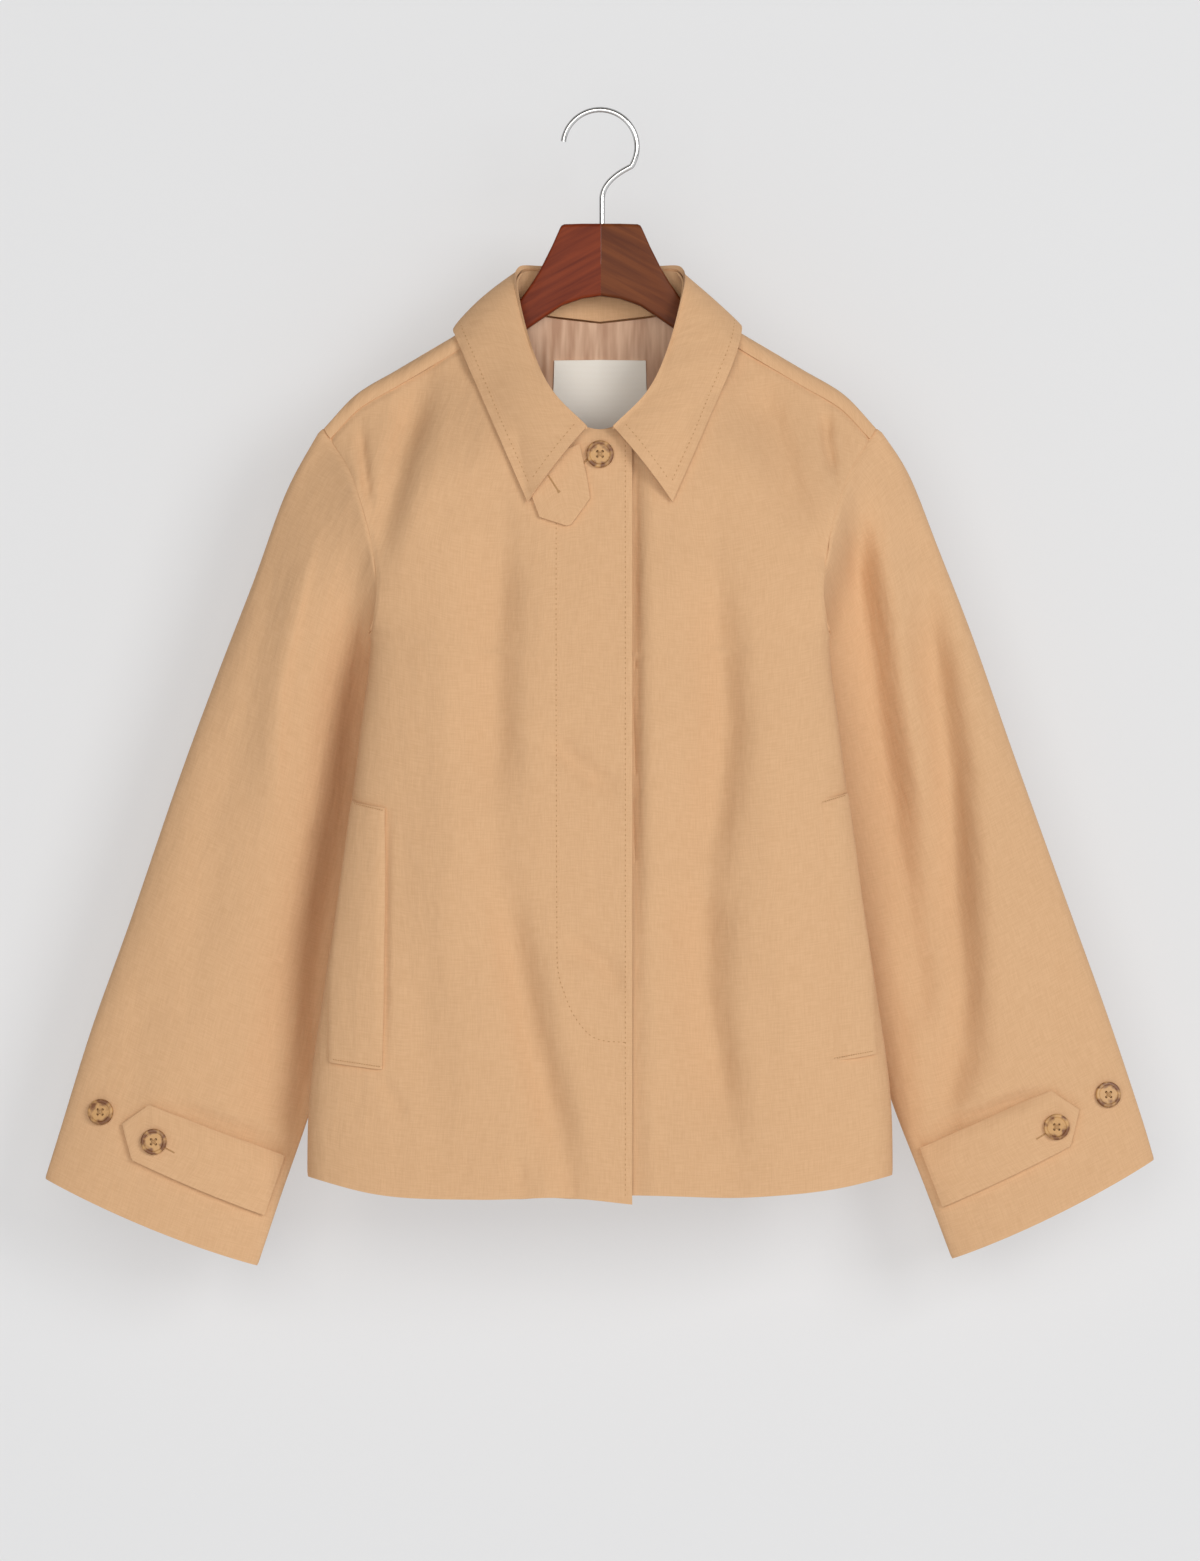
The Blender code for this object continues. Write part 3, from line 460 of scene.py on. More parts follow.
def folds(rows, x, drop):
    """Depth of all the troughs in a table, each lean times as wide on the side of lower x."""
    total = np.zeros(np.broadcast(x, drop).shape)
    for x0, drop0, x1, drop1, x2, drop2, wide, deep, lean in zip(*rows.values()):
        nearest = np.full(total.shape, np.inf)
        along = np.zeros(total.shape)
        before = np.zeros(total.shape)
        legs = ((x0, drop0, x1, drop1, 0.0), (x1, drop1, x2, drop2, 0.5))
        for ax, ad, bx, bd, begin in legs:
            length2 = (bx - ax) ** 2 + (bd - ad) ** 2
            f = np.clip(((x - ax) * (bx - ax) + (drop - ad) * (bd - ad)) / length2, 0, 1)
            away = np.hypot(x - ax - f * (bx - ax), drop - ad - f * (bd - ad))
            along = np.where(away < nearest, begin + f / 2, along)
            aside = ((x - ax) * (bd - ad) - (drop - ad) * (bx - ax)) / math.sqrt(length2)
            before = np.where(away < nearest, ease(0.5 - aside / np.maximum(away, 0.01) / 2), before)
            nearest = np.minimum(away, nearest)
        taper = ease(along / 0.3) * ease((1 - along) / 0.3)
        reach = wide * (1 + (lean - 1) * before)
        total = total + deep * (0.25 + 0.75 * taper) * np.exp(-((nearest / reach) ** 2))
    return total


def turn_of(x, drop):
    """The turn round the body's section at which it has a given x."""
    return np.arcsin(np.clip(x / body_half(drop), -1, 1))


def front_surface(side, fold_rows):
    """A front as a function of turn and drop; the left one dips under the right one."""

    def surface(turn, drop):
        x = side * np.sin(turn) * body_half(drop)
        y = body_y(x, drop, -1) + folds(fold_rows, x, drop)
        if side > 0:
            y = y + (LAYER + folds(FOLDS_RIGHT, x, drop)) * ease((LAYER_START - x) / LAYER_REACH)
        return np.stack([x, y, -drop], axis=-1)

    return surface


def back_surface(turn, drop):
    """The back as a function of turn and drop."""
    x = np.sin(turn) * body_half(drop)
    y = body_y(x, drop, 1) - folds(FOLDS_BACK, x, drop) * ease((drop - UNDERARM) / BACK_FADE)
    return np.stack([x, y, -drop], axis=-1)


def patch(top, bottom, near, far, s, t):
    """Fill four edges, each a function of 0 to 1 giving a turn and a drop.

    The upper edge's shape is lost by the underarm, so that no point leaves the armhole.
    """
    s = s[:, None]
    t = t[None, :]
    upper = 1 - ease(s / ARMHOLE_SHARE)
    filled = []
    for k in (0, 1):
        a, b, c, d = top(t)[k], bottom(t)[k], near(s)[k], far(s)[k]
        first = (1 - t) * a[0, 0] + t * a[0, -1]
        last = (1 - t) * b[0, 0] + t * b[0, -1]
        filled.append((1 - t) * c + t * d + upper * (a - first) + s * (b - last))
    return filled


def edge(rows, at):
    """A table's edge as turn and drop."""
    drop = smooth(rows["part"], rows["drop"], at)
    return turn_of(smooth(rows["part"], rows["x"], at), drop), drop


def hem_edge(rows, at):
    """A hem spread evenly from its first turn to the side."""
    first = turn_of(rows["x"][0], rows["drop"][0])
    turn = first + (SIDE_TURN - first) * at
    return turn, smooth(rows["x"], rows["drop"], np.sin(turn) * body_half(rows["drop"][-1]))


def side_edge(at, start, hem_drop):
    """The armhole from its part called start, then the side seam."""
    turn, drop = edge(ARMHOLE, start + (1 - start) * np.minimum(at / ARMHOLE_SHARE, 1))
    f = np.clip((at - ARMHOLE_SHARE) / (1 - ARMHOLE_SHARE), 0, 1)
    turn = np.where(at < ARMHOLE_SHARE, np.minimum(turn, SIDE_TURN), SIDE_TURN)
    return turn, np.where(at < ARMHOLE_SHARE, drop, UNDERARM + (hem_drop - UNDERARM) * f)


def panel_rows(upper=56, lower=112):
    """Row places of a panel: closer at the shoulder, then even down to the hem."""
    armhole = np.linspace(0, 1, upper + 1) ** 1.4 * ARMHOLE_SHARE
    return np.concatenate([armhole, np.linspace(ARMHOLE_SHARE, 1, lower + 1)[1:]])


def front_places(side, hem, columns=120):
    """Turn and drop of a front's points."""
    first = OVERLAP if side < 0 else UNDERLAP
    start = ARMHOLE["part"][1]

    def near(at):
        drop = NECK_FRONT + (hem["drop"][0] - NECK_FRONT) * at
        return turn_of(-first + 0 * at, drop), drop

    return patch(
        lambda t: edge(FRONT_TOP, t),
        lambda t: hem_edge(hem, t),
        near,
        lambda s: side_edge(s, start, hem["drop"][-1]),
        panel_rows(),
        np.linspace(0, 1, columns + 1),
    )


def back_places(columns=60):
    """Turn and drop of the back's points, both halves."""

    def middle(at):
        return 0 * at, NECK_BACK + (HEM_BACK["drop"][0] - NECK_BACK) * at

    turn, drop = patch(
        lambda t: edge(BACK_TOP, t),
        lambda t: hem_edge(HEM_BACK, t),
        middle,
        lambda s: side_edge(s, 0, HEM_BACK["drop"][-1]),
        panel_rows(),
        np.linspace(0, 1, columns + 1),
    )
    turn = np.concatenate([-turn[:, ::-1], turn[:, 1:]], axis=1)
    return turn, np.concatenate([drop[:, ::-1], drop[:, 1:]], axis=1)


def sleeve_oval(rows, at, c, s):
    """A sleeve's plain oval section at a row place."""
    stations = np.arange(len(rows["out_x"]), dtype=float)
    get = {name: smooth(stations, rows[name], at) for name in rows}
    x = (get["out_x"] * (1 + c) + get["in_x"] * (1 - c)) / 2
    drop = (get["out_drop"] * (1 + c) + get["in_drop"] * (1 - c)) / 2
    return x, get["mid_y"] - s * np.where(s > 0, get["front"], get["back"]), drop


def sleeve_surface(side, rows, fold_rows, front_rows):
    """A sleeve as a function of t, armhole to cuff, and of the turn from its outer edge."""

    def surface(t, turn):
        c = np.cos(turn)
        s = np.sin(turn)
        at = t * (len(rows["out_x"]) - 1)
        x, y, drop = sleeve_oval(rows, at, c, s)
        room = np.maximum(sleeve_oval(rows, at, c, -s)[1] - y - LAYERS_APART, 0.5)
        start_x, start_y, start_drop = sleeve_oval(rows, 0 * t, c, s)
        part = (1 - c) / 2
        hole_x = smooth(ARMHOLE["part"], ARMHOLE["x"], part)
        hole_drop = smooth(ARMHOLE["part"], ARMHOLE["drop"], part)
        hole_y = body_y(hole_x, hole_drop, np.where(s > 0, -1, 1))
        hole_y = hole_y + folds(front_rows, side * hole_x, hole_drop) * ease(s / 0.2)
        under = ease((part - 0.6) / 0.3)
        hole_x = hole_x - ARMPIT_TUCK * under
        hole_y = hole_y + ARMPIT_DEEPEN * under * np.clip(s / 0.3, -1, 1)
        fade = 1 - ease(t / SLEEVE_FADE)
        gap = SEAM * (1 + 2.5 * np.exp(-part / 0.03))
        x = x + (hole_x + gap - start_x) * fade
        y = y + (hole_y - start_y) * fade
        drop = drop + (hole_drop + SEAM / 3 - start_drop) * fade + CUFF_BOW * s * s * ease(t)
        depth = folds(fold_rows, side * x, drop) * ease(s / 0.5) * ease(t / CREASE_FADE)
        y = y + np.where(depth > 0, depth / (1 + (np.maximum(depth, 0) / room) ** 4) ** 0.25, depth)
        return np.stack([side * x, y, -drop], axis=-1)

    return surface


def sleeve_and_cuff(word, side):
    """A sleeve's surface, and the middle of its cuff."""
    surface = sleeve_surface(side, *SLEEVES[word])
    return surface, surface(*sleeve_places())[-CUFF_RINGS:].mean(axis=(0, 1))


def sleeve_places(rings=190, columns=150):
    """Places of a sleeve's points, all round from its outer edge."""
    turn = np.linspace(0, 2 * math.pi, columns, endpoint=False)[None, :]
    t = np.linspace(0, 1, rings + 1)[:, None]
    return t + 0 * turn, turn + 0 * t


def rise_to_t(rows, rise):
    """The t of a sleeve at a height above its cuff, along its middle line."""
    t = np.linspace(0, 1, 200)
    stations = np.arange(len(rows["out_x"]), dtype=float)
    x = smooth(stations, (rows["out_x"] + rows["in_x"]) / 2, t * stations[-1])
    drop = smooth(stations, (rows["out_drop"] + rows["in_drop"]) / 2, t * stations[-1])
    steps = np.hypot(np.diff(x), np.diff(drop))
    left = np.concatenate([np.cumsum(steps[::-1])[::-1], [0]])
    return np.interp(rise, left[::-1], t[::-1])


def outward(along, across, points, inside):
    """Unit normals across two directions of a surface, turned away from a point inside it."""
    normal = np.cross(along, across)
    normal = normal / np.linalg.norm(normal, axis=-1, keepdims=True)
    if np.sum(normal * (points - np.array(inside))) < 0:
        normal = -normal
    return normal


def grid_normals(grid, inside):
    """Unit normals of a grid, turned away from a point inside it."""
    return outward(np.gradient(grid, axis=0), np.gradient(grid, axis=1), grid, inside)


def walks(grid):
    """Lengths walked over a grid to each point, down from its first row and over from its first column."""
    down = np.linalg.norm(np.diff(grid, axis=0, prepend=grid[:1]), axis=-1).cumsum(axis=0)
    over = np.linalg.norm(np.diff(grid, axis=1, prepend=grid[:, :1]), axis=-1).cumsum(axis=1)
    return down, over


def raised(surface, a, b, heights, inside):
    """Points of a surface moved out along its normals by each height, and the normals."""
    step = 1e-3
    here = surface(a, b)
    along = surface(a + step, b) - surface(a - step, b)
    across = surface(a, b + step) - surface(a, b - step)
    normal = outward(along, across, here, inside)
    return [here + height * normal for height in heights], normal


def grid_wall(grid, inside, thick):
    """The outer and inner points of a wall through a grid."""
    return grid, grid - thick * grid_normals(grid, inside)


def collar_line(rows, turn):
    """A collar line's points on one side, from its middle behind to its front end."""
    return np.stack([smooth(rows["turn"], rows[k], turn) for k in ("x", "y", "drop")], axis=-1)


def neck_line(turn):
    """The neck seam, on the body's back, ridge and front."""
    x = np.interp(turn, NECK_SEAM["turn"], NECK_SEAM["x"])
    drop = np.interp(turn, NECK_SEAM["turn"], NECK_SEAM["drop"])
    face = np.interp(turn, NECK_SEAM["turn"], NECK_SEAM["face"])
    return np.stack([x, body_y(x, drop, face), drop], axis=-1)


def both_sides(right, left):
    """Join two halves that start at the middle behind, and turn drops into heights."""
    mirrored = right * np.array([-1, 1, 1])
    whole = np.concatenate([mirrored[:, ::-1], left[:, 1:]], axis=1)
    return whole * np.array([1, 1, -1])


def stand_grid(rows=12, columns=90):
    """The stand, from the neck seam up to the roll line."""
    turn = np.linspace(0, 0.985, columns + 1)
    foot = neck_line(turn)
    roll = collar_line(ROLL, turn)
    reach = np.linalg.norm(roll - foot, axis=-1, keepdims=True)
    foot = foot + (roll - foot) * np.minimum(2 * SEAM / reach, 0.5)
    f = np.linspace(0, 1, rows)[:, None, None]
    half = foot[None] * (1 - f) + roll[None] * f
    return both_sides(half, half)


def fall_grid():
    """The fall, which lies flatter over the left shoulder than over the right one."""
    return both_sides(fall_half(OUTER, RIGHT_BULGE), fall_half(OUTER_LEFT, LEFT_BULGE))


def fall_half(edge_rows, flat, rows=30, columns=110):
    """Half the fall, over the roll line and down to the collar's outer edge."""
    turn = np.linspace(0, 1, columns + 1)
    roll = collar_line(ROLL, turn)
    outer = collar_line(edge_rows, turn)
    full = (1 - (1 - flat) * ease((turn - 0.15) / 0.15) * ease((0.8 - turn) / 0.15))[:, None]
    out = np.cross(np.gradient((roll + outer) / 2, axis=0), outer - roll)
    out = out / np.linalg.norm(out, axis=-1, keepdims=True)
    away = roll * np.array([1, 1, 0]) + np.array([0, 10, -20])
    out = out * np.sign(np.sum(out * away, axis=-1, keepdims=True))
    up = np.array([0, 0, -1.0])
    lines = [roll + ROLL_EDGE * up, roll + ROLL_RISE * up + ROLL_OUT * out]
    for f in np.linspace(0, 1, rows)[1:]:
        bulge = COLLAR_BULGE * math.sin(math.pi * f) ** 0.7
        line = roll + (outer - roll) * f + ROLL_RISE * up * (1 - f) + bulge * full * out
        lines.append(clear_of_body(line, turn))
    return np.array(lines)


def clear_of_body(line, turn):
    """Keep a collar line outside the body's back and front."""
    x, y, drop = line[:, 0], line[:, 1], line[:, 2]
    front = np.minimum(y, body_y(x, drop, -1) - COLLAR_CLEAR)
    back = np.maximum(y, body_y(x, drop, 1) + COLLAR_CLEAR)
    y = np.where(turn > 0.54, front, np.where(turn < 0.46, back, y))
    crown = np.sqrt(np.maximum(RIDGE_RADIUS**2 - y**2, 0))
    over = smooth(RIDGE["x"], RIDGE["drop"], x) + RIDGE_RADIUS - crown - COLLAR_CLEAR
    drop = np.where(np.abs(y) < RIDGE_RADIUS, np.minimum(drop, over), drop)
    return np.stack([x, y, drop], axis=-1)


def welt_places(rows, steps=60, columns=14):
    """Turn and drop of a pocket welt's points."""
    drop = np.linspace(rows["drop"][0], rows["drop"][-1], steps + 1)[:, None]
    near = turn_of(np.interp(drop, rows["drop"], rows["near"]), drop)
    far = turn_of(np.minimum(np.interp(drop, rows["drop"], rows["far"]), body_half(drop) - 1.5), drop)
    f = np.linspace(0, 1, columns + 1)[None, :]
    return near + (far - near) * f, drop - WELT_SLANT * f


def strap_places(rows, steps=72, lifts=15):
    """Places of a pointed strap across a sleeve's front, rising from the seam to its tip."""
    shank = 0.88
    f = np.linspace(0, 1, steps + 1)[None, :]
    lift = np.linspace(-1, 1, lifts)[:, None]
    narrow = 1 - 0.97 * np.clip((f - shank) / (1 - shank), 0, 1)
    turn = np.arccos(STRAP_INNER + (STRAP_TIP - STRAP_INNER) * f) + 0 * lift
    rise = STRAP_RISE - STRAP_SLOPE * (1 - f) + lift * narrow * STRAP_WIDTH / 2
    return rise_to_t(rows, rise), turn


def tab_places(columns=24, steps=40):
    """Turn and drop of the tab's points on the right front."""
    stations = np.arange(len(TAB["left_x"]), dtype=float)
    s = np.linspace(0, stations[-1], steps + 1)[:, None]
    f = np.linspace(0, 1, columns + 1)[None, :]
    left_x, left_drop, right_x, right_drop = (np.interp(s, stations, TAB[k]) for k in TAB)
    drop = left_drop + (right_drop - left_drop) * f
    return turn_of(-(left_x + (right_x - left_x) * f), drop), drop


def inner_places(first_half, last_half, first, last, rows, columns):
    """Turn and drop of a panel inside the back, from its upper edge down to a drop."""
    part = np.linspace(-1, 1, columns + 1)[None, :]
    f = np.linspace(0, 1, rows + 1)[:, None]
    top = np.interp(first_half * np.abs(part), first["x"], first["drop"])
    drop = top + (last - top) * f
    return turn_of(part * (first_half + (last_half - first_half) * f), drop), drop


def seam_dip(grid, seams):
    """How far a panel dips at its sewn edges, given as edge, depth and width in millimetres."""
    down, over = walks(grid)
    away = {"top": down, "bottom": down[-1:] - down, "near": over, "far": over[:, -1:] - over}
    dip = np.zeros(grid.shape[:2])
    for name, depth, width in seams:
        dip = dip - depth * np.exp(-((away[name] / width) ** 2))
    return dip[..., None]


def flat_places(grid, ring, start):
    """Each point's place on the flat cloth in metres, from a share of its row and the bottom."""
    if ring:
        grid = np.concatenate([grid, grid[:, :1]], axis=1)
    down, over = walks(grid)
    return np.stack([over - over[:, -1:] * start, down[-1:] - down], axis=-1) * MM


def cloth_mesh(name, outer, inner, ring=False, keep=None, start=0.5):
    """A closed thin wall between two grids, with its flat places as UVs; keep masks its quads."""
    rows, columns = outer.shape[:2]
    wide = columns + 1 if ring else columns
    i, j = np.mgrid[0 : rows - 1, 0 : wide - 1]
    if keep is not None:
        i, j = i[keep], j[keep]
    i, j = i.ravel(), j.ravel()
    k = (j + 1) % columns
    quads = np.stack([i * columns + j, i * columns + k, (i + 1) * columns + k, (i + 1) * columns + j], 1)
    places = np.stack([i * wide + j, i * wide + j + 1, (i + 1) * wide + j + 1, (i + 1) * wide + j], 1)
    points = np.concatenate([outer.reshape(-1, 3), inner.reshape(-1, 3)])
    count = rows * columns
    begin = quads.ravel()
    end = np.roll(quads, -1, axis=1).ravel()
    rim = ~np.isin(begin * count + end, end * count + begin)
    a, b = begin[rim], end[rim]
    at_a, at_b = places.ravel()[rim], np.roll(places, -1, axis=1).ravel()[rim]
    faces = np.concatenate([quads, quads[:, ::-1] + count, np.stack([b, a, a + count, b + count], 1)])
    spots = np.concatenate([places, places[:, ::-1], np.stack([at_b, at_a, at_a, at_b], 1)])
    facing = np.cross(points[quads[:, 1]] - points[quads[:, 0]], points[quads[:, 3]] - points[quads[:, 0]])
    if np.sum(facing * (points[quads[:, 0]] - points[quads[:, 0] + count])) < 0:
        faces, spots = faces[:, ::-1], spots[:, ::-1]
    used, faces = np.unique(faces, return_inverse=True)
    faces = faces.reshape(-1, 4)
    mesh = bpy.data.meshes.new(name)
    mesh.from_pydata((points[used] * MM).tolist(), [], faces.tolist())
    layer = mesh.uv_layers.new(name="flat_cloth")
    flat = flat_places(outer, ring, start).reshape(-1, 2)[spots.ravel()]
    layer.uv.foreach_set("vector", flat.ravel())
    mesh.shade_smooth()
    mesh.set_sharp_from_angle(angle=math.radians(50))
    mesh.update()
    return mesh


def stand_in(piece, name):
    """Let a piece ride the coat and stand for the CAD node of the given name."""
    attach(piece, "root")
    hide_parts(name)


def put(name, mesh, material=None):
    """Show a mesh as a piece that stands for the CAD node of the same name."""
    piece = bpy.data.objects.new(name + "_look", mesh)
    bpy.context.scene.collection.objects.link(piece)
    if material:
        mesh.materials.append(material)
    stand_in(piece, name)
    return piece


def wall(surface, a, b, inside, seams=(), lift=0.0, thick=CLOTH):
    """Outer and inner grids of a cloth wall on a surface, dipped at its seams."""
    level = lift + seam_dip(surface(a, b), seams)
    return raised(surface, a, b, (level, level - thick), inside)[0]


def linear(hex_colour):
    """An sRGB hex colour as linear red, green, blue and alpha."""
    parts = [int(hex_colour[i : i + 2], 16) / 255 for i in (1, 3, 5)]
    return [p / 12.92 if p <= 0.04045 else ((p + 0.055) / 1.055) ** 2.4 for p in parts] + [1.0]


def fill(tree, node, inputs):
    """Give a node's inputs values, or links from sockets."""
    for name, value in inputs.items():
        if isinstance(value, bpy.types.NodeSocket):
            tree.links.new(value, node.inputs[name])
        else:
            node.inputs[name].default_value = value


def add_node(tree, kind, settings=None, inputs=None):
    """Add a node, set its properties and fill its inputs."""
    node = tree.nodes.new(kind)
    for name, value in (settings or {}).items():
        setattr(node, name, value)
    fill(tree, node, inputs or {})
    return node


def new_material(name):
    """An empty node material: its tree and its shader."""
    material = bpy.data.materials.new(name)
    material.use_nodes = True
    return material, material.node_tree, material.node_tree.nodes["Principled BSDF"]


def tint(tree, shader, value, first, last, low=0.0, high=1.0):
    """Colour a shader from a first to a last hex colour as a value goes from low to high."""
    ramp = add_node(tree, "ShaderNodeValToRGB", {}, {"Fac": value})
    for element, position, colour in zip(ramp.color_ramp.elements, (low, high), (first, last)):
        element.position = position
        element.color = linear(colour)
    tree.links.new(ramp.outputs["Color"], shader.inputs["Base Color"])


def emboss(tree, shader, height, strength, distance):
    """Bump a shader by a height, and return the bump's node."""
    inputs = {"Height": height, "Strength": strength, "Distance": distance}
    bump = add_node(tree, "ShaderNodeBump", {}, inputs)
    tree.links.new(bump.outputs["Normal"], shader.inputs["Normal"])
    return bump


def cloth_place(tree):
    """The place on the flat cloth, in metres."""
    return add_node(tree, "ShaderNodeUVMap", {"uv_map": "flat_cloth"}).outputs["UV"]


def flat_noise(tree, place, stretch, inputs):
    """Noise over the flat cloth, stretched by a scale for each direction."""
    turned = add_node(tree, "ShaderNodeMapping", {}, {"Vector": place, "Scale": stretch})
    noise = add_node(tree, "ShaderNodeTexNoise", {"noise_dimensions": "2D"}, inputs)
    tree.links.new(turned.outputs["Vector"], noise.inputs["Vector"])
    return noise.outputs["Fac"]


def ribbing(tree, place, direction, spacing, distortion):
    """Even ribs across a direction of the flat cloth, a spacing in metres apart."""
    return add_node(
        tree,
        "ShaderNodeTexWave",
        {"wave_type": "BANDS", "bands_direction": direction},
        {"Vector": place, "Scale": BAND_SCALE / spacing, "Distortion": distortion},
    ).outputs["Fac"]


def woven_cotton():
    """Matte cotton gabardine: upright twill, flecked yarns, a soft bloom and handling waves."""
    material, tree, shader = new_material("tan cotton gabardine")
    colours = bpy.context.scene.coat_colours
    sizes = bpy.context.scene.coat_sizes
    flat = cloth_place(tree)
    yarn = {"Scale": 1 / sizes.fleck, "Detail": 2.0}
    warp = flat_noise(tree, flat, (1.0, 0.07, 1.0), yarn)
    weft = flat_noise(tree, flat, (0.07, 1.0, 1.0), yarn)
    both = add_node(tree, "ShaderNodeMath", {"operation": "ADD"}, {0: warp, 1: weft})
    half = add_node(tree, "ShaderNodeMath", {"operation": "MULTIPLY"}, {0: both.outputs[0], 1: 0.5})
    tint(tree, shader, half.outputs[0], colours.cotton_dark, colours.cotton_light, 0.36, 0.64)
    slant = {"Vector": flat, "Rotation": (0, 0, math.radians(63))}
    twill = add_node(tree, "ShaderNodeMapping", {}, slant).outputs["Vector"]
    ribs = ribbing(tree, twill, "X", sizes.twill, 0.6)
    relief = add_node(
        tree, "ShaderNodeMath", {"operation": "MULTIPLY_ADD"}, {0: half.outputs[0], 1: 1.6, 2: ribs}
    )
    bump = emboss(tree, shader, relief.outputs[0], 0.14, 0.0004)
    soft = {"Scale": 1 / sizes.crumple, "Detail": 3.0, "Roughness": 0.55}
    handled = flat_noise(tree, flat, (1.0, 0.35, 1.0), soft)
    emboss(tree, bump, handled, 0.5, 0.004)
    bloom = {"Sheen Weight": 0.05, "Sheen Roughness": 0.5, "Specular IOR Level": 0.12}
    fill(tree, shader, {"Roughness": 0.88, "IOR": 1.45, **bloom})
    return material


def satin_lining():
    """Viscose lining satin: rose brown, smooth, with painted sheen and painted shade in soft streaks down
    the cloth.
    """
    material, tree, shader = new_material("rose viscose satin")
    colours = bpy.context.scene.coat_colours
    # noise streaks paint the satin's sheen and shade into its colour
    streak = flat_noise(tree, cloth_place(tree), (1, 0.12, 1), {"Scale": 160.0})
    tint(tree, shader, streak, colours.lining_painted_shade, colours.lining_painted_sheen, 0.3, 0.7)
    fill(tree, shader, {"Roughness": 0.42, "IOR": 1.5})
    return material


def label_weave():
    """Woven polyester label: cream, close ribs across with painted shade in their hollows and painted
    highlight on their crests, and a faint silky shine.
    """
    material, tree, shader = new_material("cream woven label")
    colours = bpy.context.scene.coat_colours
    ribs = ribbing(tree, cloth_place(tree), "Y", LABEL_RIB, 0.3)
    # the ribs' hollows get painted shade and their crests painted highlight
    tint(tree, shader, ribs, colours.label_rib_painted_shade, colours.label_rib_painted_highlight)
    emboss(tree, shader, ribs, 0.15, 0.0002)
    fill(tree, shader, {"Roughness": 0.6})
    return material


def hex_colour(name, description, default):
    """A setting for an sRGB hex colour."""
    return bpy.props.StringProperty(name=name, description=description, default=default)


def metres(name, description, default):
    """A setting for a length in metres."""
    return bpy.props.FloatProperty(name=name, description=description, default=default, unit="LENGTH")


class CoatColours(bpy.types.PropertyGroup):
    """Colours of the coat, its trims, its hanger and the stage, as sRGB hex values."""

    cotton_dark: hex_colour("Cotton, dark yarn", "Darker yarns of the shell cloth", "#D5AB82")
    cotton_light: hex_colour("Cotton, light yarn", "Lighter yarns of the shell cloth", "#DCB38A")
    # Lining colours: painted shade and painted sheen of the satin's streaks
    lining_painted_shade: hex_colour("Lining, dark", "Shaded threads of the lining satin", "#C09578")
    lining_painted_sheen: hex_colour("Lining, light", "Lit threads of the lining satin", "#E0BA9C")
    # Label colours: painted shade in the ribs' hollows and painted highlight on their crests
    label_rib_painted_shade: hex_colour("Label, dark", "Hollows of the label's ribs", "#F5F0E4")
    label_rib_painted_highlight: hex_colour("Label, light", "Crests of the label's ribs", "#FEFBF4")
    horn_light: hex_colour("Horn, light", "Honey middle of the buttons", "#C99A60")
    horn_dark: hex_colour("Horn, dark", "Smoky blotches of the buttons", "#774720")
    # Thread colours: painted shade and painted light of the thread's ply
    thread_painted_shade: hex_colour("Thread, dark", "Shaded ply of the sewing thread", "#AE8253")
    thread_painted_light: hex_colour("Thread, light", "Lit ply of the sewing thread", "#CBA374")
    wood_red_dark: hex_colour("Right half, dark", "Dark streaks of the redder half", "#66220A")
    wood_red_light: hex_colour("Right half, light", "Light streaks of the redder half", "#863716")
    wood_brown_dark: hex_colour("Left half, dark", "Dark streaks of the browner half", "#5C2A10")
    wood_brown_light: hex_colour("Left half, light", "Light streaks of the browner half", "#7A401C")
    # Chrome colours: painted reflection, bright face on and dark at the wire's edges
    chrome_painted_bright_reflection: hex_colour("Chrome, light", "Wire seen face on", "#E4E4E4")
    chrome_painted_dark_reflection: hex_colour("Chrome, dark", "Wire seen at its edges", "#4E4C4A")
    backdrop: hex_colour("Backdrop", "Painted wall and floor behind the coat", "#E9EAEB")
    wall_glow: hex_colour("Wall glow", "Even light on the wall from lamps of its own", "#F4F5F7")


class CoatSizes(bpy.types.PropertyGroup):
    """Sizes of the cloth's surface and of the picture."""

    twill: metres("Twill rib", "Spacing of the twill ribs, coarsened so that they show", 0.0009)
    fleck: metres("Yarn fleck", "Width of the lighter and darker flecks along the yarns", 0.0009)
    crumple: metres("Crumple", "Width of the soft waves that handling leaves in the cloth", 0.03)
    stitch: metres("Stitch", "Length of a topstitch", 0.0027)
    stitch_pitch: metres("Stitch spacing", "From one topstitch to the next", 0.0037)
    thread: metres("Thread width", "Width of the sewing thread, thickened so that it shows", 0.0007)
    camera_distance: metres("Camera distance", "From the coat's middle to the camera", 8.0)
    view_height: metres("View height", "Height of the picture at the coat", 1.146)


class COAT_OT_body(bpy.types.Operator):
    """Make the two fronts and the back of the coat"""

    bl_idname = "coat.body"
    bl_label = "Fronts and back"

    def execute(self, context):
        cotton = woven_cotton()
        seams = [("top", 1.1, 2.2), ("far", 1.1, 2.2), ("bottom", 0.4, 1.2), ("near", 0.4, 1.2)]
        tuck = np.array([0, 2.4, 4])
        for name, side, hem, rows, cut in (
            ("front_right", -1, HEM_RIGHT, FOLDS_RIGHT, (0.27, 0.66, 0.138)),
            ("front_left", 1, HEM_LEFT, FOLDS_LEFT, (0.27, 0.66, 0.138)),
        ):
            places = front_places(side, hem)
            outer, inner = wall(front_surface(side, rows), *places, BODY_MIDDLE, seams)
            outer = np.concatenate([outer[:1] + tuck, outer])
            inner = np.concatenate([inner[:1] + tuck, inner])
            piece = put(name, cloth_mesh(name, outer, inner, start=0), cotton)
        outer, inner, keep = back_wall()
        piece = put("back", cloth_mesh("back", outer, inner, keep=keep), cotton)
        return {"FINISHED"}


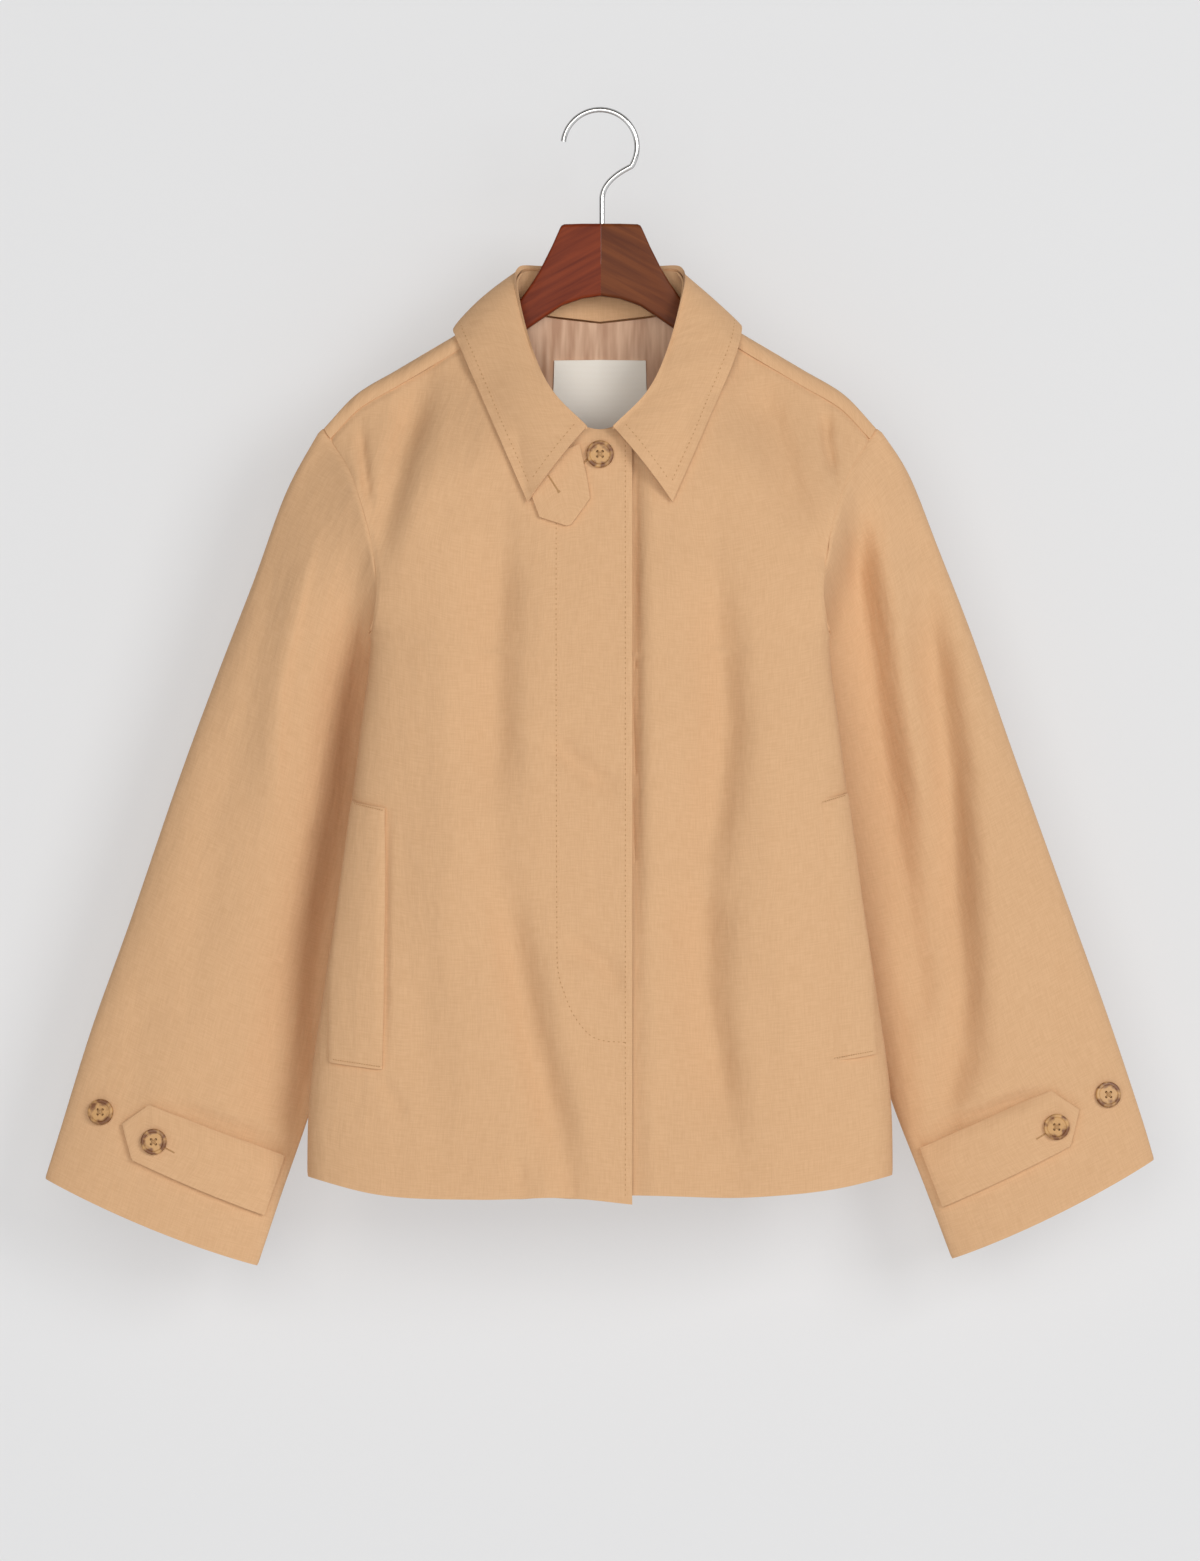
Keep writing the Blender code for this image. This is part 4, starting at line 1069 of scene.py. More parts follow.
def back_wall(strips=7):
    """The back's outer and inner grids with its shoulder strips above, and the quads to keep."""
    turn, drop = back_places()
    seams = [("near", 0.9, 2.5), ("far", 0.9, 2.5), ("bottom", 0.4, 1.2)]
    outer, inner = wall(back_surface, turn, drop, BODY_MIDDLE, seams)
    ridge_turn, ridge_drop = turn[:1], drop[:1]
    reach = SHOULDER_SEAM - SEAM

    def over_ridge(at_turn, below):
        x = np.sin(at_turn) * body_half(ridge_drop)
        tip = ease((np.abs(x) - TIP_START) / (ARMHOLE["x"][0] - TIP_START))
        down = below * (1 - TIP_RISE * tip)
        x = x - np.sign(x) * TIP_LEAN * down * tip
        at = ridge_drop + down
        return np.stack([x, body_y(x, at, -1), -at], axis=-1)

    below = (np.linspace(1, 0, strips + 1)[:-1, None] ** 1.5) * reach + 0 * ridge_turn
    dip = -0.7 * np.exp(-(((reach - below) / 2.5) ** 2))[..., None]
    flap = raised(over_ridge, ridge_turn + 0 * below, below, (dip, dip - CLOTH), BODY_MIDDLE)[0]
    outer = np.concatenate([flap[0], outer])
    inner = np.concatenate([flap[1], inner])
    keep = np.ones((outer.shape[0] - 1, outer.shape[1] - 1), bool)
    x = np.abs(np.sin(ridge_turn[0]) * body_half(ridge_drop[0]))
    keep[:strips] = ((x[:-1] > FLAP_START) & (x[1:] > FLAP_START))[None, :]
    return outer, inner, keep


class COAT_OT_sleeves(bpy.types.Operator):
    """Make the two sleeves"""

    bl_idname = "coat.sleeves"
    bl_label = "Sleeves"

    def execute(self, context):
        cotton = bpy.data.materials["tan cotton gabardine"]
        for word, side in SIDES:
            surface = sleeve_surface(side, *SLEEVES[word])
            t, turn = sleeve_places()
            inside = surface(t, turn).mean(axis=(0, 1))
            seams = [("top", 1.7, 2.4), ("bottom", 0.4, 1.2)]
            outer, inner = wall(surface, t, turn, inside, seams)
            tuck = outer[:1] * np.array([1, 0.92, 1]) - np.array([side * SLEEVE_TUCK, 0, 0])
            tuck[..., 1] += SLEEVE_TUCK * np.sin(turn[0])
            outer = np.concatenate([tuck, outer])
            inner = np.concatenate([tuck * np.array([1, 0.95, 1]) - np.array([side, 0, 1]), inner])
            name = "sleeve_" + word
            piece = put(name, cloth_mesh(name, outer, inner, ring=True), cotton)
        return {"FINISHED"}


class COAT_OT_collar(bpy.types.Operator):
    """Make the collar's stand and its turned-down fall"""

    bl_idname = "coat.collar"
    bl_label = "Collar"

    def execute(self, context):
        cotton = bpy.data.materials["tan cotton gabardine"]
        for name, grid, cut in (
            ("collar_stand", stand_grid(), (0.36, 0.045, 0.0087)),
            ("collar_fall", fall_grid(), (0.52, 0.1, 0.0305)),
        ):
            outer, inner = grid_wall(grid, NECK_MIDDLE, CLOTH)
            piece = put(name, cloth_mesh(name, outer, inner), cotton)
        return {"FINISHED"}


class COAT_OT_trims(bpy.types.Operator):
    """Make the throat tab, the cuff straps and the pocket welts"""

    bl_idname = "coat.trims"
    bl_label = "Tab, straps and welts"

    def execute(self, context):
        cotton = bpy.data.materials["tan cotton gabardine"]
        rolled = [(edge_name, 0.7, 1.1) for edge_name in ("top", "bottom", "near", "far")]
        crisp = [(edge_name, 0.3, 0.8) for edge_name in ("top", "bottom", "near", "far")]
        merged = rolled[:2] + [("near", 3.2, 9), ("far", 0.7, 1.1)]
        tab_cut, strap_cut, welt_cut = (0.045, 0.062, 0.0021), (0.15, 0.043, 0.0055), (0.042, 0.192, 0.0076)
        front = front_surface(-1, FOLDS_RIGHT)
        jobs = [("throat_tab", front, tab_places(), BODY_MIDDLE, crisp, TAB_LIFT, tab_cut)]
        for word, side in SIDES:
            rows, _, front_folds = SLEEVES[word]
            sleeve, cuff = sleeve_and_cuff(word, side)
            strap = strap_places(rows)
            jobs.append(("cuff_strap_" + word, sleeve, strap, cuff, crisp, STRAP_LIFT, strap_cut))
            front = front_surface(side, front_folds)
            edges = rolled if side < 0 else merged
            welt = welt_places(WELTS[word])
            jobs.append(("pocket_welt_" + word, front, welt, BODY_MIDDLE, edges, WELT_LIFT, welt_cut))
        for name, surface, places, inside, edges, more, cut in jobs:
            lift = ON_PANEL + more
            outer, inner = wall(surface, *places, inside, edges, lift=lift, thick=lift - TRIM_FOOT)
            piece = put(name, cloth_mesh(name, outer, inner), cotton)
        return {"FINISHED"}


class COAT_OT_lining(bpy.types.Operator):
    """Make the upper back's lining and the bare label on it"""

    bl_idname = "coat.lining"
    bl_label = "Lining and label"

    def execute(self, context):
        lining_top = -CLOTH - LINING_GAP
        label_top = lining_top - LINING - LABEL_GAP
        turn, drop = lining = inner_places(56, 64, LINING_TOP, 330, 74, 92)
        label = inner_places(35, 35, LABEL_TOP, 235, 24, 30)
        crease = folds(FOLDS_LINING, np.sin(turn) * body_half(drop), drop)[..., None]
        satin, cream = satin_lining(), label_weave()
        for name, places, level, material, slot, cut in (
            ("lining_back", lining, lining_top - crease, satin, "lining_cloth", (0.13, 0.18)),
            ("neck_label", label, label_top, cream, "label_cloth", (0.072, 0.056)),
        ):
            outer, inner = raised(back_surface, *places, (level, level - LINING), BODY_MIDDLE)[0]
            piece = put(name, cloth_mesh(name, outer, inner), material)
        return {"FINISHED"}


def polished_horn():
    """Polished horn-like button: honey middle, smoky brown blotches round the rim, a soft gloss."""
    material, tree, shader = new_material("smoky brown horn")
    colours = bpy.context.scene.coat_colours
    place = add_node(tree, "ShaderNodeUVMap", {"uv_map": "button_face"}).outputs["UV"]
    number = add_node(tree, "ShaderNodeAttribute", {"attribute_name": "button_number"}).outputs["Fac"]
    smoke = add_node(
        tree,
        "ShaderNodeTexNoise",
        {"noise_dimensions": "4D"},
        {"Vector": place, "W": number, "Scale": 3.4, "Detail": 2.0, "Roughness": 0.45},
    ).outputs["Fac"]
    out = add_node(tree, "ShaderNodeVectorMath", {"operation": "LENGTH"}, {0: place}).outputs["Value"]
    rim = add_node(
        tree,
        "ShaderNodeMapRange",
        {"interpolation_type": "SMOOTHSTEP"},
        {"Value": out, "From Min": 0.14, "From Max": 0.4, "To Min": -0.16, "To Max": 0.1},
    ).outputs["Result"]
    dark = add_node(tree, "ShaderNodeMath", {"operation": "ADD"}, {0: smoke, 1: rim})
    tint(tree, shader, dark.outputs[0], colours.horn_light, colours.horn_dark, 0.47, 0.66)
    fill(tree, shader, {"Roughness": 0.45, "IOR": 1.54})
    return material


def sewing_thread():
    """Spun cotton thread: a little darker than the cloth, its ply painted with light and shade in fine
    flecks.
    """
    material, tree, shader = new_material("tan sewing thread")
    colours = bpy.context.scene.coat_colours
    place = add_node(tree, "ShaderNodeTexCoord").outputs["Object"]
    ply = add_node(tree, "ShaderNodeTexNoise", {}, {"Vector": place, "Scale": 900.0}).outputs["Fac"]
    # fine noise paints the ply's light and shade into the thread's colour
    tint(tree, shader, ply, colours.thread_painted_shade, colours.thread_painted_light)
    fill(tree, shader, {"Roughness": 0.7, "Specular IOR Level": 0.3})
    return material


def stained_wood(name, dark, light, slant):
    """Beech stained red brown under satin varnish: fine streaks along the arm, a clear shine."""
    material, tree, shader = new_material(name)
    place = add_node(tree, "ShaderNodeTexCoord").outputs["Object"]
    along = add_node(
        tree,
        "ShaderNodeMapping",
        {"vector_type": "TEXTURE"},
        {"Vector": place, "Rotation": (0, slant, 0), "Scale": (0.06, 0.004, 0.004)},
    ).outputs["Vector"]
    streaks = {"Vector": along, "Scale": 1.0, "Detail": 5.0, "Distortion": 0.5}
    grain = add_node(tree, "ShaderNodeTexNoise", {}, streaks).outputs["Fac"]
    tint(tree, shader, grain, dark, light, 0.3, 0.72)
    emboss(tree, shader, grain, 0.12, 0.0003)
    varnish = {"Specular IOR Level": 0.18, "Coat Weight": 0.04, "Coat Roughness": 0.3}
    fill(tree, shader, {"Roughness": 0.5, **varnish})
    return material


def chromed_wire():
    """Chrome plated steel wire: bright and smooth, with a painted reflection that darkens its colour towards
    the edges it shows the camera.
    """
    material, tree, shader = new_material("chrome plated steel")
    colours = bpy.context.scene.coat_colours
    # painted reflection: the colour darkens where the wire turns away from the camera
    painted_reflection_facing = add_node(tree, "ShaderNodeLayerWeight", {}, {"Blend": 0.4}).outputs["Facing"]
    tint(tree, shader, painted_reflection_facing, colours.chrome_painted_bright_reflection, colours.chrome_painted_dark_reflection, 0.15, 0.75)
    fill(tree, shader, {"Metallic": 1.0, "Roughness": 0.16})
    return material


def start_solo():
    """Leave nothing selected, so that the next operator acts on its own piece alone."""
    bpy.ops.object.select_all(action="DESELECT")


def pick(piece, kind, test):
    """In edit mode, select only the vertices, edges or faces that pass a test."""
    bpy.ops.mesh.select_mode(type=kind)
    bpy.ops.mesh.select_all(action="DESELECT")
    bpy.ops.object.mode_set(mode="OBJECT")
    data = {"VERT": piece.data.vertices, "EDGE": piece.data.edges, "FACE": piece.data.polygons}[kind]
    for part in data:
        part.select = bool(test(part))
    bpy.ops.object.mode_set(mode="EDIT")


def button_disc(radius, thick, dish):
    """A plain button: a disc with a raised rim, face up at the origin, rounded at its edges."""
    start_solo()
    bpy.ops.mesh.primitive_cylinder_add(vertices=48, radius=radius, depth=thick, location=(0, 0, thick / 2))
    disc = bpy.context.object
    bpy.ops.object.transform_apply(location=True)
    bpy.ops.object.mode_set(mode="EDIT")
    pick(disc, "FACE", lambda face: face.normal.z > 0.9)
    bpy.ops.mesh.inset(thickness=BUTTON_RIM * MM)
    bpy.ops.mesh.inset(thickness=BUTTON_SLOPE * MM)
    bpy.ops.transform.translate(value=(0, 0, -dish))
    data = disc.data

    def on_rim(line):
        first, second = (data.vertices[v].co for v in line.vertices)
        outside = min(first.xy.length, second.xy.length) > radius * 0.98
        return outside and abs(first.z - second.z) < thick / 9

    pick(disc, "EDGE", on_rim)
    bpy.ops.mesh.bevel(offset=BUTTON_ROUND * MM, segments=4)
    bpy.ops.object.mode_set(mode="OBJECT")
    return disc


def button_blank(horn, thread):
    """A four-hole button of cuff size, face up at the origin, sewn on with crossed thread."""
    radius, thick, dish = CUFF_BUTTON / 2 * MM, BUTTON_HEIGHT * MM, BUTTON_DISH * MM
    blank = button_disc(radius, thick, dish)
    spread = HOLE_SPREAD * MM
    for place in ((spread, spread, 0), (-spread, spread, 0), (-spread, -spread, 0), (spread, -spread, 0)):
        start_solo()
        bpy.ops.mesh.primitive_cylinder_add(
            vertices=16, radius=HOLE_RADIUS * MM, depth=4 * thick, location=place
        )
        drill = bpy.context.object
        cut = blank.modifiers.new("hole", "BOOLEAN")
        cut.object = drill
        start_solo()
        blank.select_set(True)
        bpy.context.view_layer.objects.active = blank
        bpy.ops.object.modifier_apply(modifier=cut.name)
        bpy.data.objects.remove(drill, do_unlink=True)
    bpy.ops.object.shade_smooth_by_angle(angle=math.radians(35))
    strands = [
        cross_strand(turn, lane, spread, thick - dish) for turn in (45, 135) for lane in (-0.35, 0.35)
    ]
    for item in [blank] + strands:
        item.data.materials.clear()
        item.data.materials.append(horn)
        item.data.materials.append(thread)
    for strand in strands:
        for face in strand.data.polygons:
            face.material_index = 1
    start_solo()
    for item in strands + [blank]:
        item.select_set(True)
    bpy.context.view_layer.objects.active = blank
    bpy.ops.object.join()
    faces = blank.data.uv_layers.get("button_face") or blank.data.uv_layers.new(name="button_face")
    for loop in blank.data.loops:
        place = blank.data.vertices[loop.vertex_index].co / (2 * radius)
        faces.data[loop.index].uv = (place.x, place.y)
    return blank


def cross_strand(turn, lane, spread, top):
    """One strand of sewing thread from a hole over the button's middle into the hole across."""
    reach = spread * math.sqrt(2)
    start_solo()
    bpy.ops.curve.primitive_bezier_curve_add()
    strand = bpy.context.object
    spline = strand.data.splines[0]
    spline.bezier_points.add(2)
    heights = ((-reach, -1.2), (-reach * 0.72, 0.35), (reach * 0.72, 0.35), (reach, -1.2))
    for point, (along, rise) in zip(spline.bezier_points, heights):
        point.handle_left_type = point.handle_right_type = "AUTO"
        point.co = (along, lane * MM, top + rise * MM)
    strand.data.bevel_depth = STRAND_RADIUS * MM
    strand.data.bevel_resolution = 2
    strand.data.resolution_u = 6
    strand.rotation_euler = (0, 0, math.radians(turn))
    bpy.ops.object.convert(target="MESH")
    bpy.ops.object.transform_apply(rotation=True)
    return bpy.context.object


class COAT_OT_buttons(bpy.types.Operator):
    """Make the collar button and the four cuff buttons"""

    bl_idname = "coat.buttons"
    bl_label = "Buttons"

    def execute(self, context):
        blank = button_blank(polished_horn(), sewing_thread())
        front = front_surface(-1, FOLDS_RIGHT)
        throat = (np.array([0.0]), np.array([COLLAR_BUTTON_DROP]))
        places = [("button_collar", front, throat, 0, BODY_MIDDLE)]
        for word, side in SIDES:
            surface, cuff = sleeve_and_cuff(word, side)
            rows = SLEEVES[word][0]
            for number, across, rise, height in CUFF_BUTTONS[word]:
                place = (rise_to_t(rows, np.array([rise])), np.arccos([across]))
                places.append((f"button_cuff_{word}_{number}", surface, place, height, cuff))
        for number, (name, surface, place, height, inside) in enumerate(places):
            (seat,), normal = raised(surface, *place, (height,), inside)
            mesh = blank.data.copy()
            mesh.name = name
            size = COLLAR_BUTTON / CUFF_BUTTON if name == "button_collar" else 1.0
            turn = Vector(normal[0]).to_track_quat("Z", "Y").to_matrix().to_4x4()
            at = Vector(seat[0] + normal[0] * BUTTON_GAP) * MM
            mesh.transform(Matrix.Translation(at) @ turn @ Matrix.Scale(size, 4))
            tag = mesh.attributes.new("button_number", "FLOAT", "POINT")
            tag.data.foreach_set("value", np.full(len(mesh.vertices), number * 3.7 + 1.3))
            put(name, mesh)
        bpy.data.objects.remove(blank, do_unlink=True)
        return {"FINISHED"}


class COAT_OT_hanger(bpy.types.Operator):
    """Make the two wooden halves of the hanger and its wire hook"""

    bl_idname = "coat.hanger"
    bl_label = "Hanger and hook"

    def execute(self, context):
        colours = context.scene.coat_colours
        for word, side, dark, light in (
            ("right", -1, colours.wood_red_dark, colours.wood_red_light),
            ("left", 1, colours.wood_brown_dark, colours.wood_brown_light),
        ):
            wood = stained_wood(f"varnished {word} beech", dark, light, side * math.radians(28))
            self.half("hanger_arm_" + word, side, wood)
        self.hook(chromed_wire())
        return {"FINISHED"}

    def half(self, name, side, wood):
        """A board cut across at each station, drawn to the hanger's edges and rounded over."""
        stations = np.unique(np.concatenate([HANGER["x"], np.linspace(44, 184, 29)]))
        start_solo()
        length = (stations[-1] - stations[0]) * MM
        middle = (stations[-1] + stations[0]) / 2 * MM
        bpy.ops.mesh.primitive_cube_add(size=1, location=(middle, 0, 0), scale=(length, 1, 1))
        board = bpy.context.object
        bpy.ops.object.transform_apply(location=True, scale=True)
        bpy.ops.object.mode_set(mode="EDIT")
        for x in stations[1:-1]:
            bpy.ops.mesh.select_all(action="SELECT")
            bpy.ops.mesh.bisect(plane_co=(x * MM, 0, 0), plane_no=(1, 0, 0))
        bpy.ops.object.mode_set(mode="OBJECT")
        for corner in board.data.vertices:
            x = corner.co.x / MM
            row = "top" if corner.co.z > 0 else "bottom"
            half = np.interp(x, HANGER["x"], HANGER["half"])
            corner.co.z = -np.interp(x, HANGER["x"], HANGER[row]) * MM
            corner.co.y = math.copysign(half * MM, corner.co.y)
            corner.co.x = (HANGER_JOINT + side * x) * MM
        bpy.ops.object.mode_set(mode="EDIT")
        bpy.ops.mesh.select_all(action="SELECT")
        bpy.ops.mesh.normals_make_consistent(inside=False)
        bpy.ops.object.mode_set(mode="OBJECT")
        tip = abs(HANGER_JOINT + side * stations[-1]) * MM
        spots = board.data.vertices
        bpy.ops.object.mode_set(mode="EDIT")
        pick(
            board,
            "EDGE",
            lambda rim: abs(spots[rim.vertices[0]].co.x - spots[rim.vertices[1]].co.x) > MM / 100
            or abs(spots[rim.vertices[0]].co.x) > tip - MM / 10,
        )
        bpy.ops.mesh.bevel(offset=BOARD_ROUND * MM, segments=4)
        bpy.ops.object.mode_set(mode="OBJECT")
        bpy.ops.object.shade_smooth_by_angle(angle=math.radians(35))
        board.name = name + "_look"
        board.data.materials.append(wood)
        stand_in(board, name)

    def hook(self, chrome, steps=60, bend_steps=24):
        """A wire bent over the hanging point, swept back to the middle and down into the wood."""
        radius = WIRE / 2
        centre = np.array((0, radius - HOOK_RADIUS))
        turns = np.radians(np.linspace(172, -32, steps))
        points = [centre + HOOK_RADIUS * np.array((math.cos(turn), math.sin(turn))) for turn in turns]
        begin, corner, end = points[-1], np.array((STEM_X, -50.0)), np.array((STEM_X, -64.0))
        for f in np.linspace(0, 1, bend_steps + 1)[1:]:
            points.append((1 - f) ** 2 * begin + 2 * f * (1 - f) * corner + f**2 * end)
        points.append(np.array((STEM_X, -HANGER_TOP - STEM_SEAT)))
        start_solo()
        bpy.ops.curve.primitive_bezier_curve_add()
        wire = bpy.context.object
        wire.data.splines.clear()
        spline = wire.data.splines.new("POLY")
        spline.points.add(len(points) - 1)
        for point, (x, z) in zip(spline.points, points):
            point.co = (x * MM, 0, z * MM, 1)
        wire.data.dimensions = "3D"
        wire.data.bevel_depth = radius * MM
        wire.data.bevel_resolution = 4
        wire.data.use_fill_caps = True
        bpy.ops.object.convert(target="MESH")
        wire = bpy.context.object
        bpy.ops.object.shade_smooth_by_angle(angle=math.radians(40))
        wire.name = "hook_look"
        wire.data.materials.clear()
        wire.data.materials.append(chrome)
        stand_in(wire, "hook")


# The fly's stitch line from the neck down to its curved end at the placket's edge
FLY_STITCH = table(
    "x drop",
    (-32, 246),
    (-32, 420),
    (-31.5, 590),
    (-30.8, 628),
    (-26.4, 645),
    (-18.4, 663.5),
    (-3.7, 679),
    (20.5, 682.5),
)


def along_line(points, normals, pitch, length):
    """Even stitches on a line: where each begins and ends, and the cloth's normal there."""
    walked = np.concatenate([[0], np.linalg.norm(np.diff(points, axis=0), axis=-1).cumsum()])
    middle = (np.arange(int(walked[-1] // pitch)) + 0.5) * pitch

    def read(values, at):
        return np.stack([np.interp(at, walked, values[:, k]) for k in range(3)], axis=-1)

    half = length / 2
    return read(points, middle - half), read(points, middle + half), read(normals, middle)


def across_line(points, normals, pitch, length):
    """Close stitches set across a line, as round a buttonhole."""
    begin, end, normal = along_line(points, normals, pitch, pitch)
    run = end - begin
    run = run / np.linalg.norm(run, axis=-1, keepdims=True)
    over = np.cross(normal, run) * length / 2
    middle = (begin + end) / 2
    return middle - over, middle + over, normal


def stitch_mesh(name, runs, width, sides=6):
    """One mesh of many short spindles of thread, each laid on the cloth and sunk at its ends."""
    begin, end, normal = (np.concatenate([run[k] for run in runs]) for k in range(3))
    over = np.cross(normal, end - begin)
    over = over / np.linalg.norm(over, axis=-1, keepdims=True)
    turn = 2 * math.pi * np.arange(sides) / sides
    sideways = np.cos(turn)[None, :, None] * over[:, None]
    upward = 0.7 * np.sin(turn)[None, :, None] * normal[:, None]
    ring = ((begin + end) / 2 + 0.12 * normal)[:, None] + (sideways + upward) * width / 2
    sunk = 0.2 * normal
    points = np.concatenate([(begin - sunk)[:, None], ring, (end - sunk)[:, None]], axis=1)
    k = np.arange(sides)
    first = np.stack([0 * k, 1 + k, 1 + (k + 1) % sides], 1)
    last = np.stack([0 * k + sides + 1, 1 + (k + 1) % sides, 1 + k], 1)
    one = np.concatenate([first, last])
    faces = one[None] + (np.arange(len(points)) * (sides + 2))[:, None, None]
    mesh = bpy.data.meshes.new(name)
    mesh.from_pydata((points.reshape(-1, 3) * MM).tolist(), [], faces.reshape(-1, 3).tolist())
    corner = mesh.polygons[0]
    if np.dot(np.array(corner.normal), np.array(corner.center) / MM - (begin + end)[0] / 2) < 0:
        mesh.flip_normals()
    mesh.shade_smooth()
    return mesh


def front_line(side, x, drop, height, samples=400):
    """Points and normals of a line drawn on a front through the given places."""
    part = np.linspace(0, 1, len(x))
    fine = np.linspace(0, 1, samples)
    at_x, at_drop = (smooth(part, np.array(values, float), fine) for values in (x, drop))
    surface = front_surface(side, SLEEVES["right" if side < 0 else "left"][2])
    (points,), normals = raised(surface, turn_of(side * at_x, at_drop), at_drop, (height,), BODY_MIDDLE)
    return points, normals


def collar_lines(inset=8.0):
    """The fall's stitch line, a set distance inside its front edges and its outer edge."""
    grid = fall_grid()
    normal = grid_normals(grid, NECK_MIDDLE)
    down, over = walks(grid)
    lines = []

    def read(values, walked, at):
        """A row's point, or its normal, at each row's walked length."""
        return np.array(
            [[np.interp(at[i], walked[i], values[i, :, k]) for k in range(3)] for i in range(len(at))]
        )

    far = over[:, -1]
    rows = down[:, 0] < down[-1, 0] - inset
    for at in (0 * far + inset, far - inset):
        lines.append((read(grid, over, at)[rows][3:], read(normal, over, at)[rows][3:]))
    columns = (over[-1] > inset) & (over[-1] < over[-1, -1] - inset)
    at = down[-1] - inset
    edge_line = [read(values.transpose(1, 0, 2), down.T, at)[columns] for values in (grid, normal)]
    lines.append(tuple(edge_line))
    return lines


class COAT_OT_stitching(bpy.types.Operator):
    """Sew the topstitching and the buttonholes"""

    bl_idname = "coat.stitching"
    bl_label = "Stitching"

    def execute(self, context):
        sizes = context.scene.coat_sizes
        length, pitch = sizes.stitch / MM, sizes.stitch_pitch / MM
        thread = bpy.data.materials["tan sewing thread"]
        plain = [front_line(-1, [18.5] * 6, np.linspace(241, 796, 6), 0)]
        plain.append(front_line(-1, FLY_STITCH["x"], FLY_STITCH["drop"], 0))
        bars = []
        for word, side in SIDES:
            welt = WELTS[word]
            for row, inward in ((0, 2), (-1, -2)):
                drop = welt["drop"][row] + inward - np.linspace(0, WELT_SLANT, 4)
                across = np.linspace(welt["near"][row] + 1, welt["far"][row] - 3, 4)
                bars.append(front_line(side, side * across, drop, ON_PANEL + WELT_LIFT))
        runs = [along_line(*line, pitch, length) for line in plain + collar_lines()]
        runs += [along_line(*line, pitch / 2, length * 0.6) for line in bars]
        holes = [
            (front_line(-1, [-6, -14], [253.5, 260.5], 0.1), 2.6),
            (front_line(-1, [-38, -30], [268, 280.5], ON_PANEL + TAB_LIFT), 2.6),
            (front_line(-1, [-30.6, -29.4], [279.4, 281.4], ON_PANEL + TAB_LIFT), 4.2),
        ]
        for word, side in SIDES:
            surface, cuff = sleeve_and_cuff(word, side)
            _, across, rise, height = CUFF_BUTTONS[word][0]
            t = rise_to_t(SLEEVES[word][0], np.linspace(rise, rise - 3.5, 40))
            turn = np.arccos(np.linspace(across, across - 0.2, 40))
            (points,), normals = raised(surface, t, turn, (height,), cuff)
            holes.append(((points, normals), 2.4))
        runs += [across_line(*line, 0.62, wide) for line, wide in holes]
        piece = bpy.data.objects.new("stitching", stitch_mesh("stitching", runs, sizes.thread / MM))
        context.scene.collection.objects.link(piece)
        piece.data.materials.append(thread)
        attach(piece, "root")
        return {"FINISHED"}


def painted_wall():
    """Matte pale grey wall paint, clear from behind; its even glow stands for lamps of its own."""
    material, tree, shader = new_material("pale wall paint")
    colours = bpy.context.scene.coat_colours
    place = add_node(tree, "ShaderNodeTexCoord").outputs["Object"]
    roller = add_node(tree, "ShaderNodeTexNoise", {}, {"Vector": place, "Scale": 400.0, "Detail": 2.0})
    emboss(tree, shader, roller.outputs["Fac"], 0.05, 0.0003)
    paint = [WALL_SHADE * part for part in linear(colours.backdrop)[:3]] + [1]
    glow = {"Emission Color": linear(colours.wall_glow), "Emission Strength": WALL_GLOW}
    fill(tree, shader, {"Base Color": paint, "Roughness": 0.9, "Specular IOR Level": 0.1, **glow})
    behind = add_node(tree, "ShaderNodeNewGeometry").outputs["Backfacing"]
    clear = add_node(tree, "ShaderNodeBsdfTransparent").outputs["BSDF"]
    sides = {0: behind, 1: shader.outputs["BSDF"], 2: clear}
    either = add_node(tree, "ShaderNodeMixShader", {}, sides)
    tree.links.new(either.outputs["Shader"], tree.nodes["Material Output"].inputs["Surface"])
    return material


def area_light(name, place, aim, size, power, colour="#FFFFFF"):
    """A square soft light at a place, turned to a point."""
    light = bpy.data.lights.new(name, "AREA")
    light.size = size
    light.energy = power
    light.color = linear(colour)[:3]
    lamp = bpy.data.objects.new(name, light)
    lamp.location = place
    lamp.visible_camera = False
    lamp.rotation_euler = (Vector(aim) - Vector(place)).to_track_quat("-Z", "Y").to_euler()
    bpy.context.scene.collection.objects.link(lamp)
    return lamp


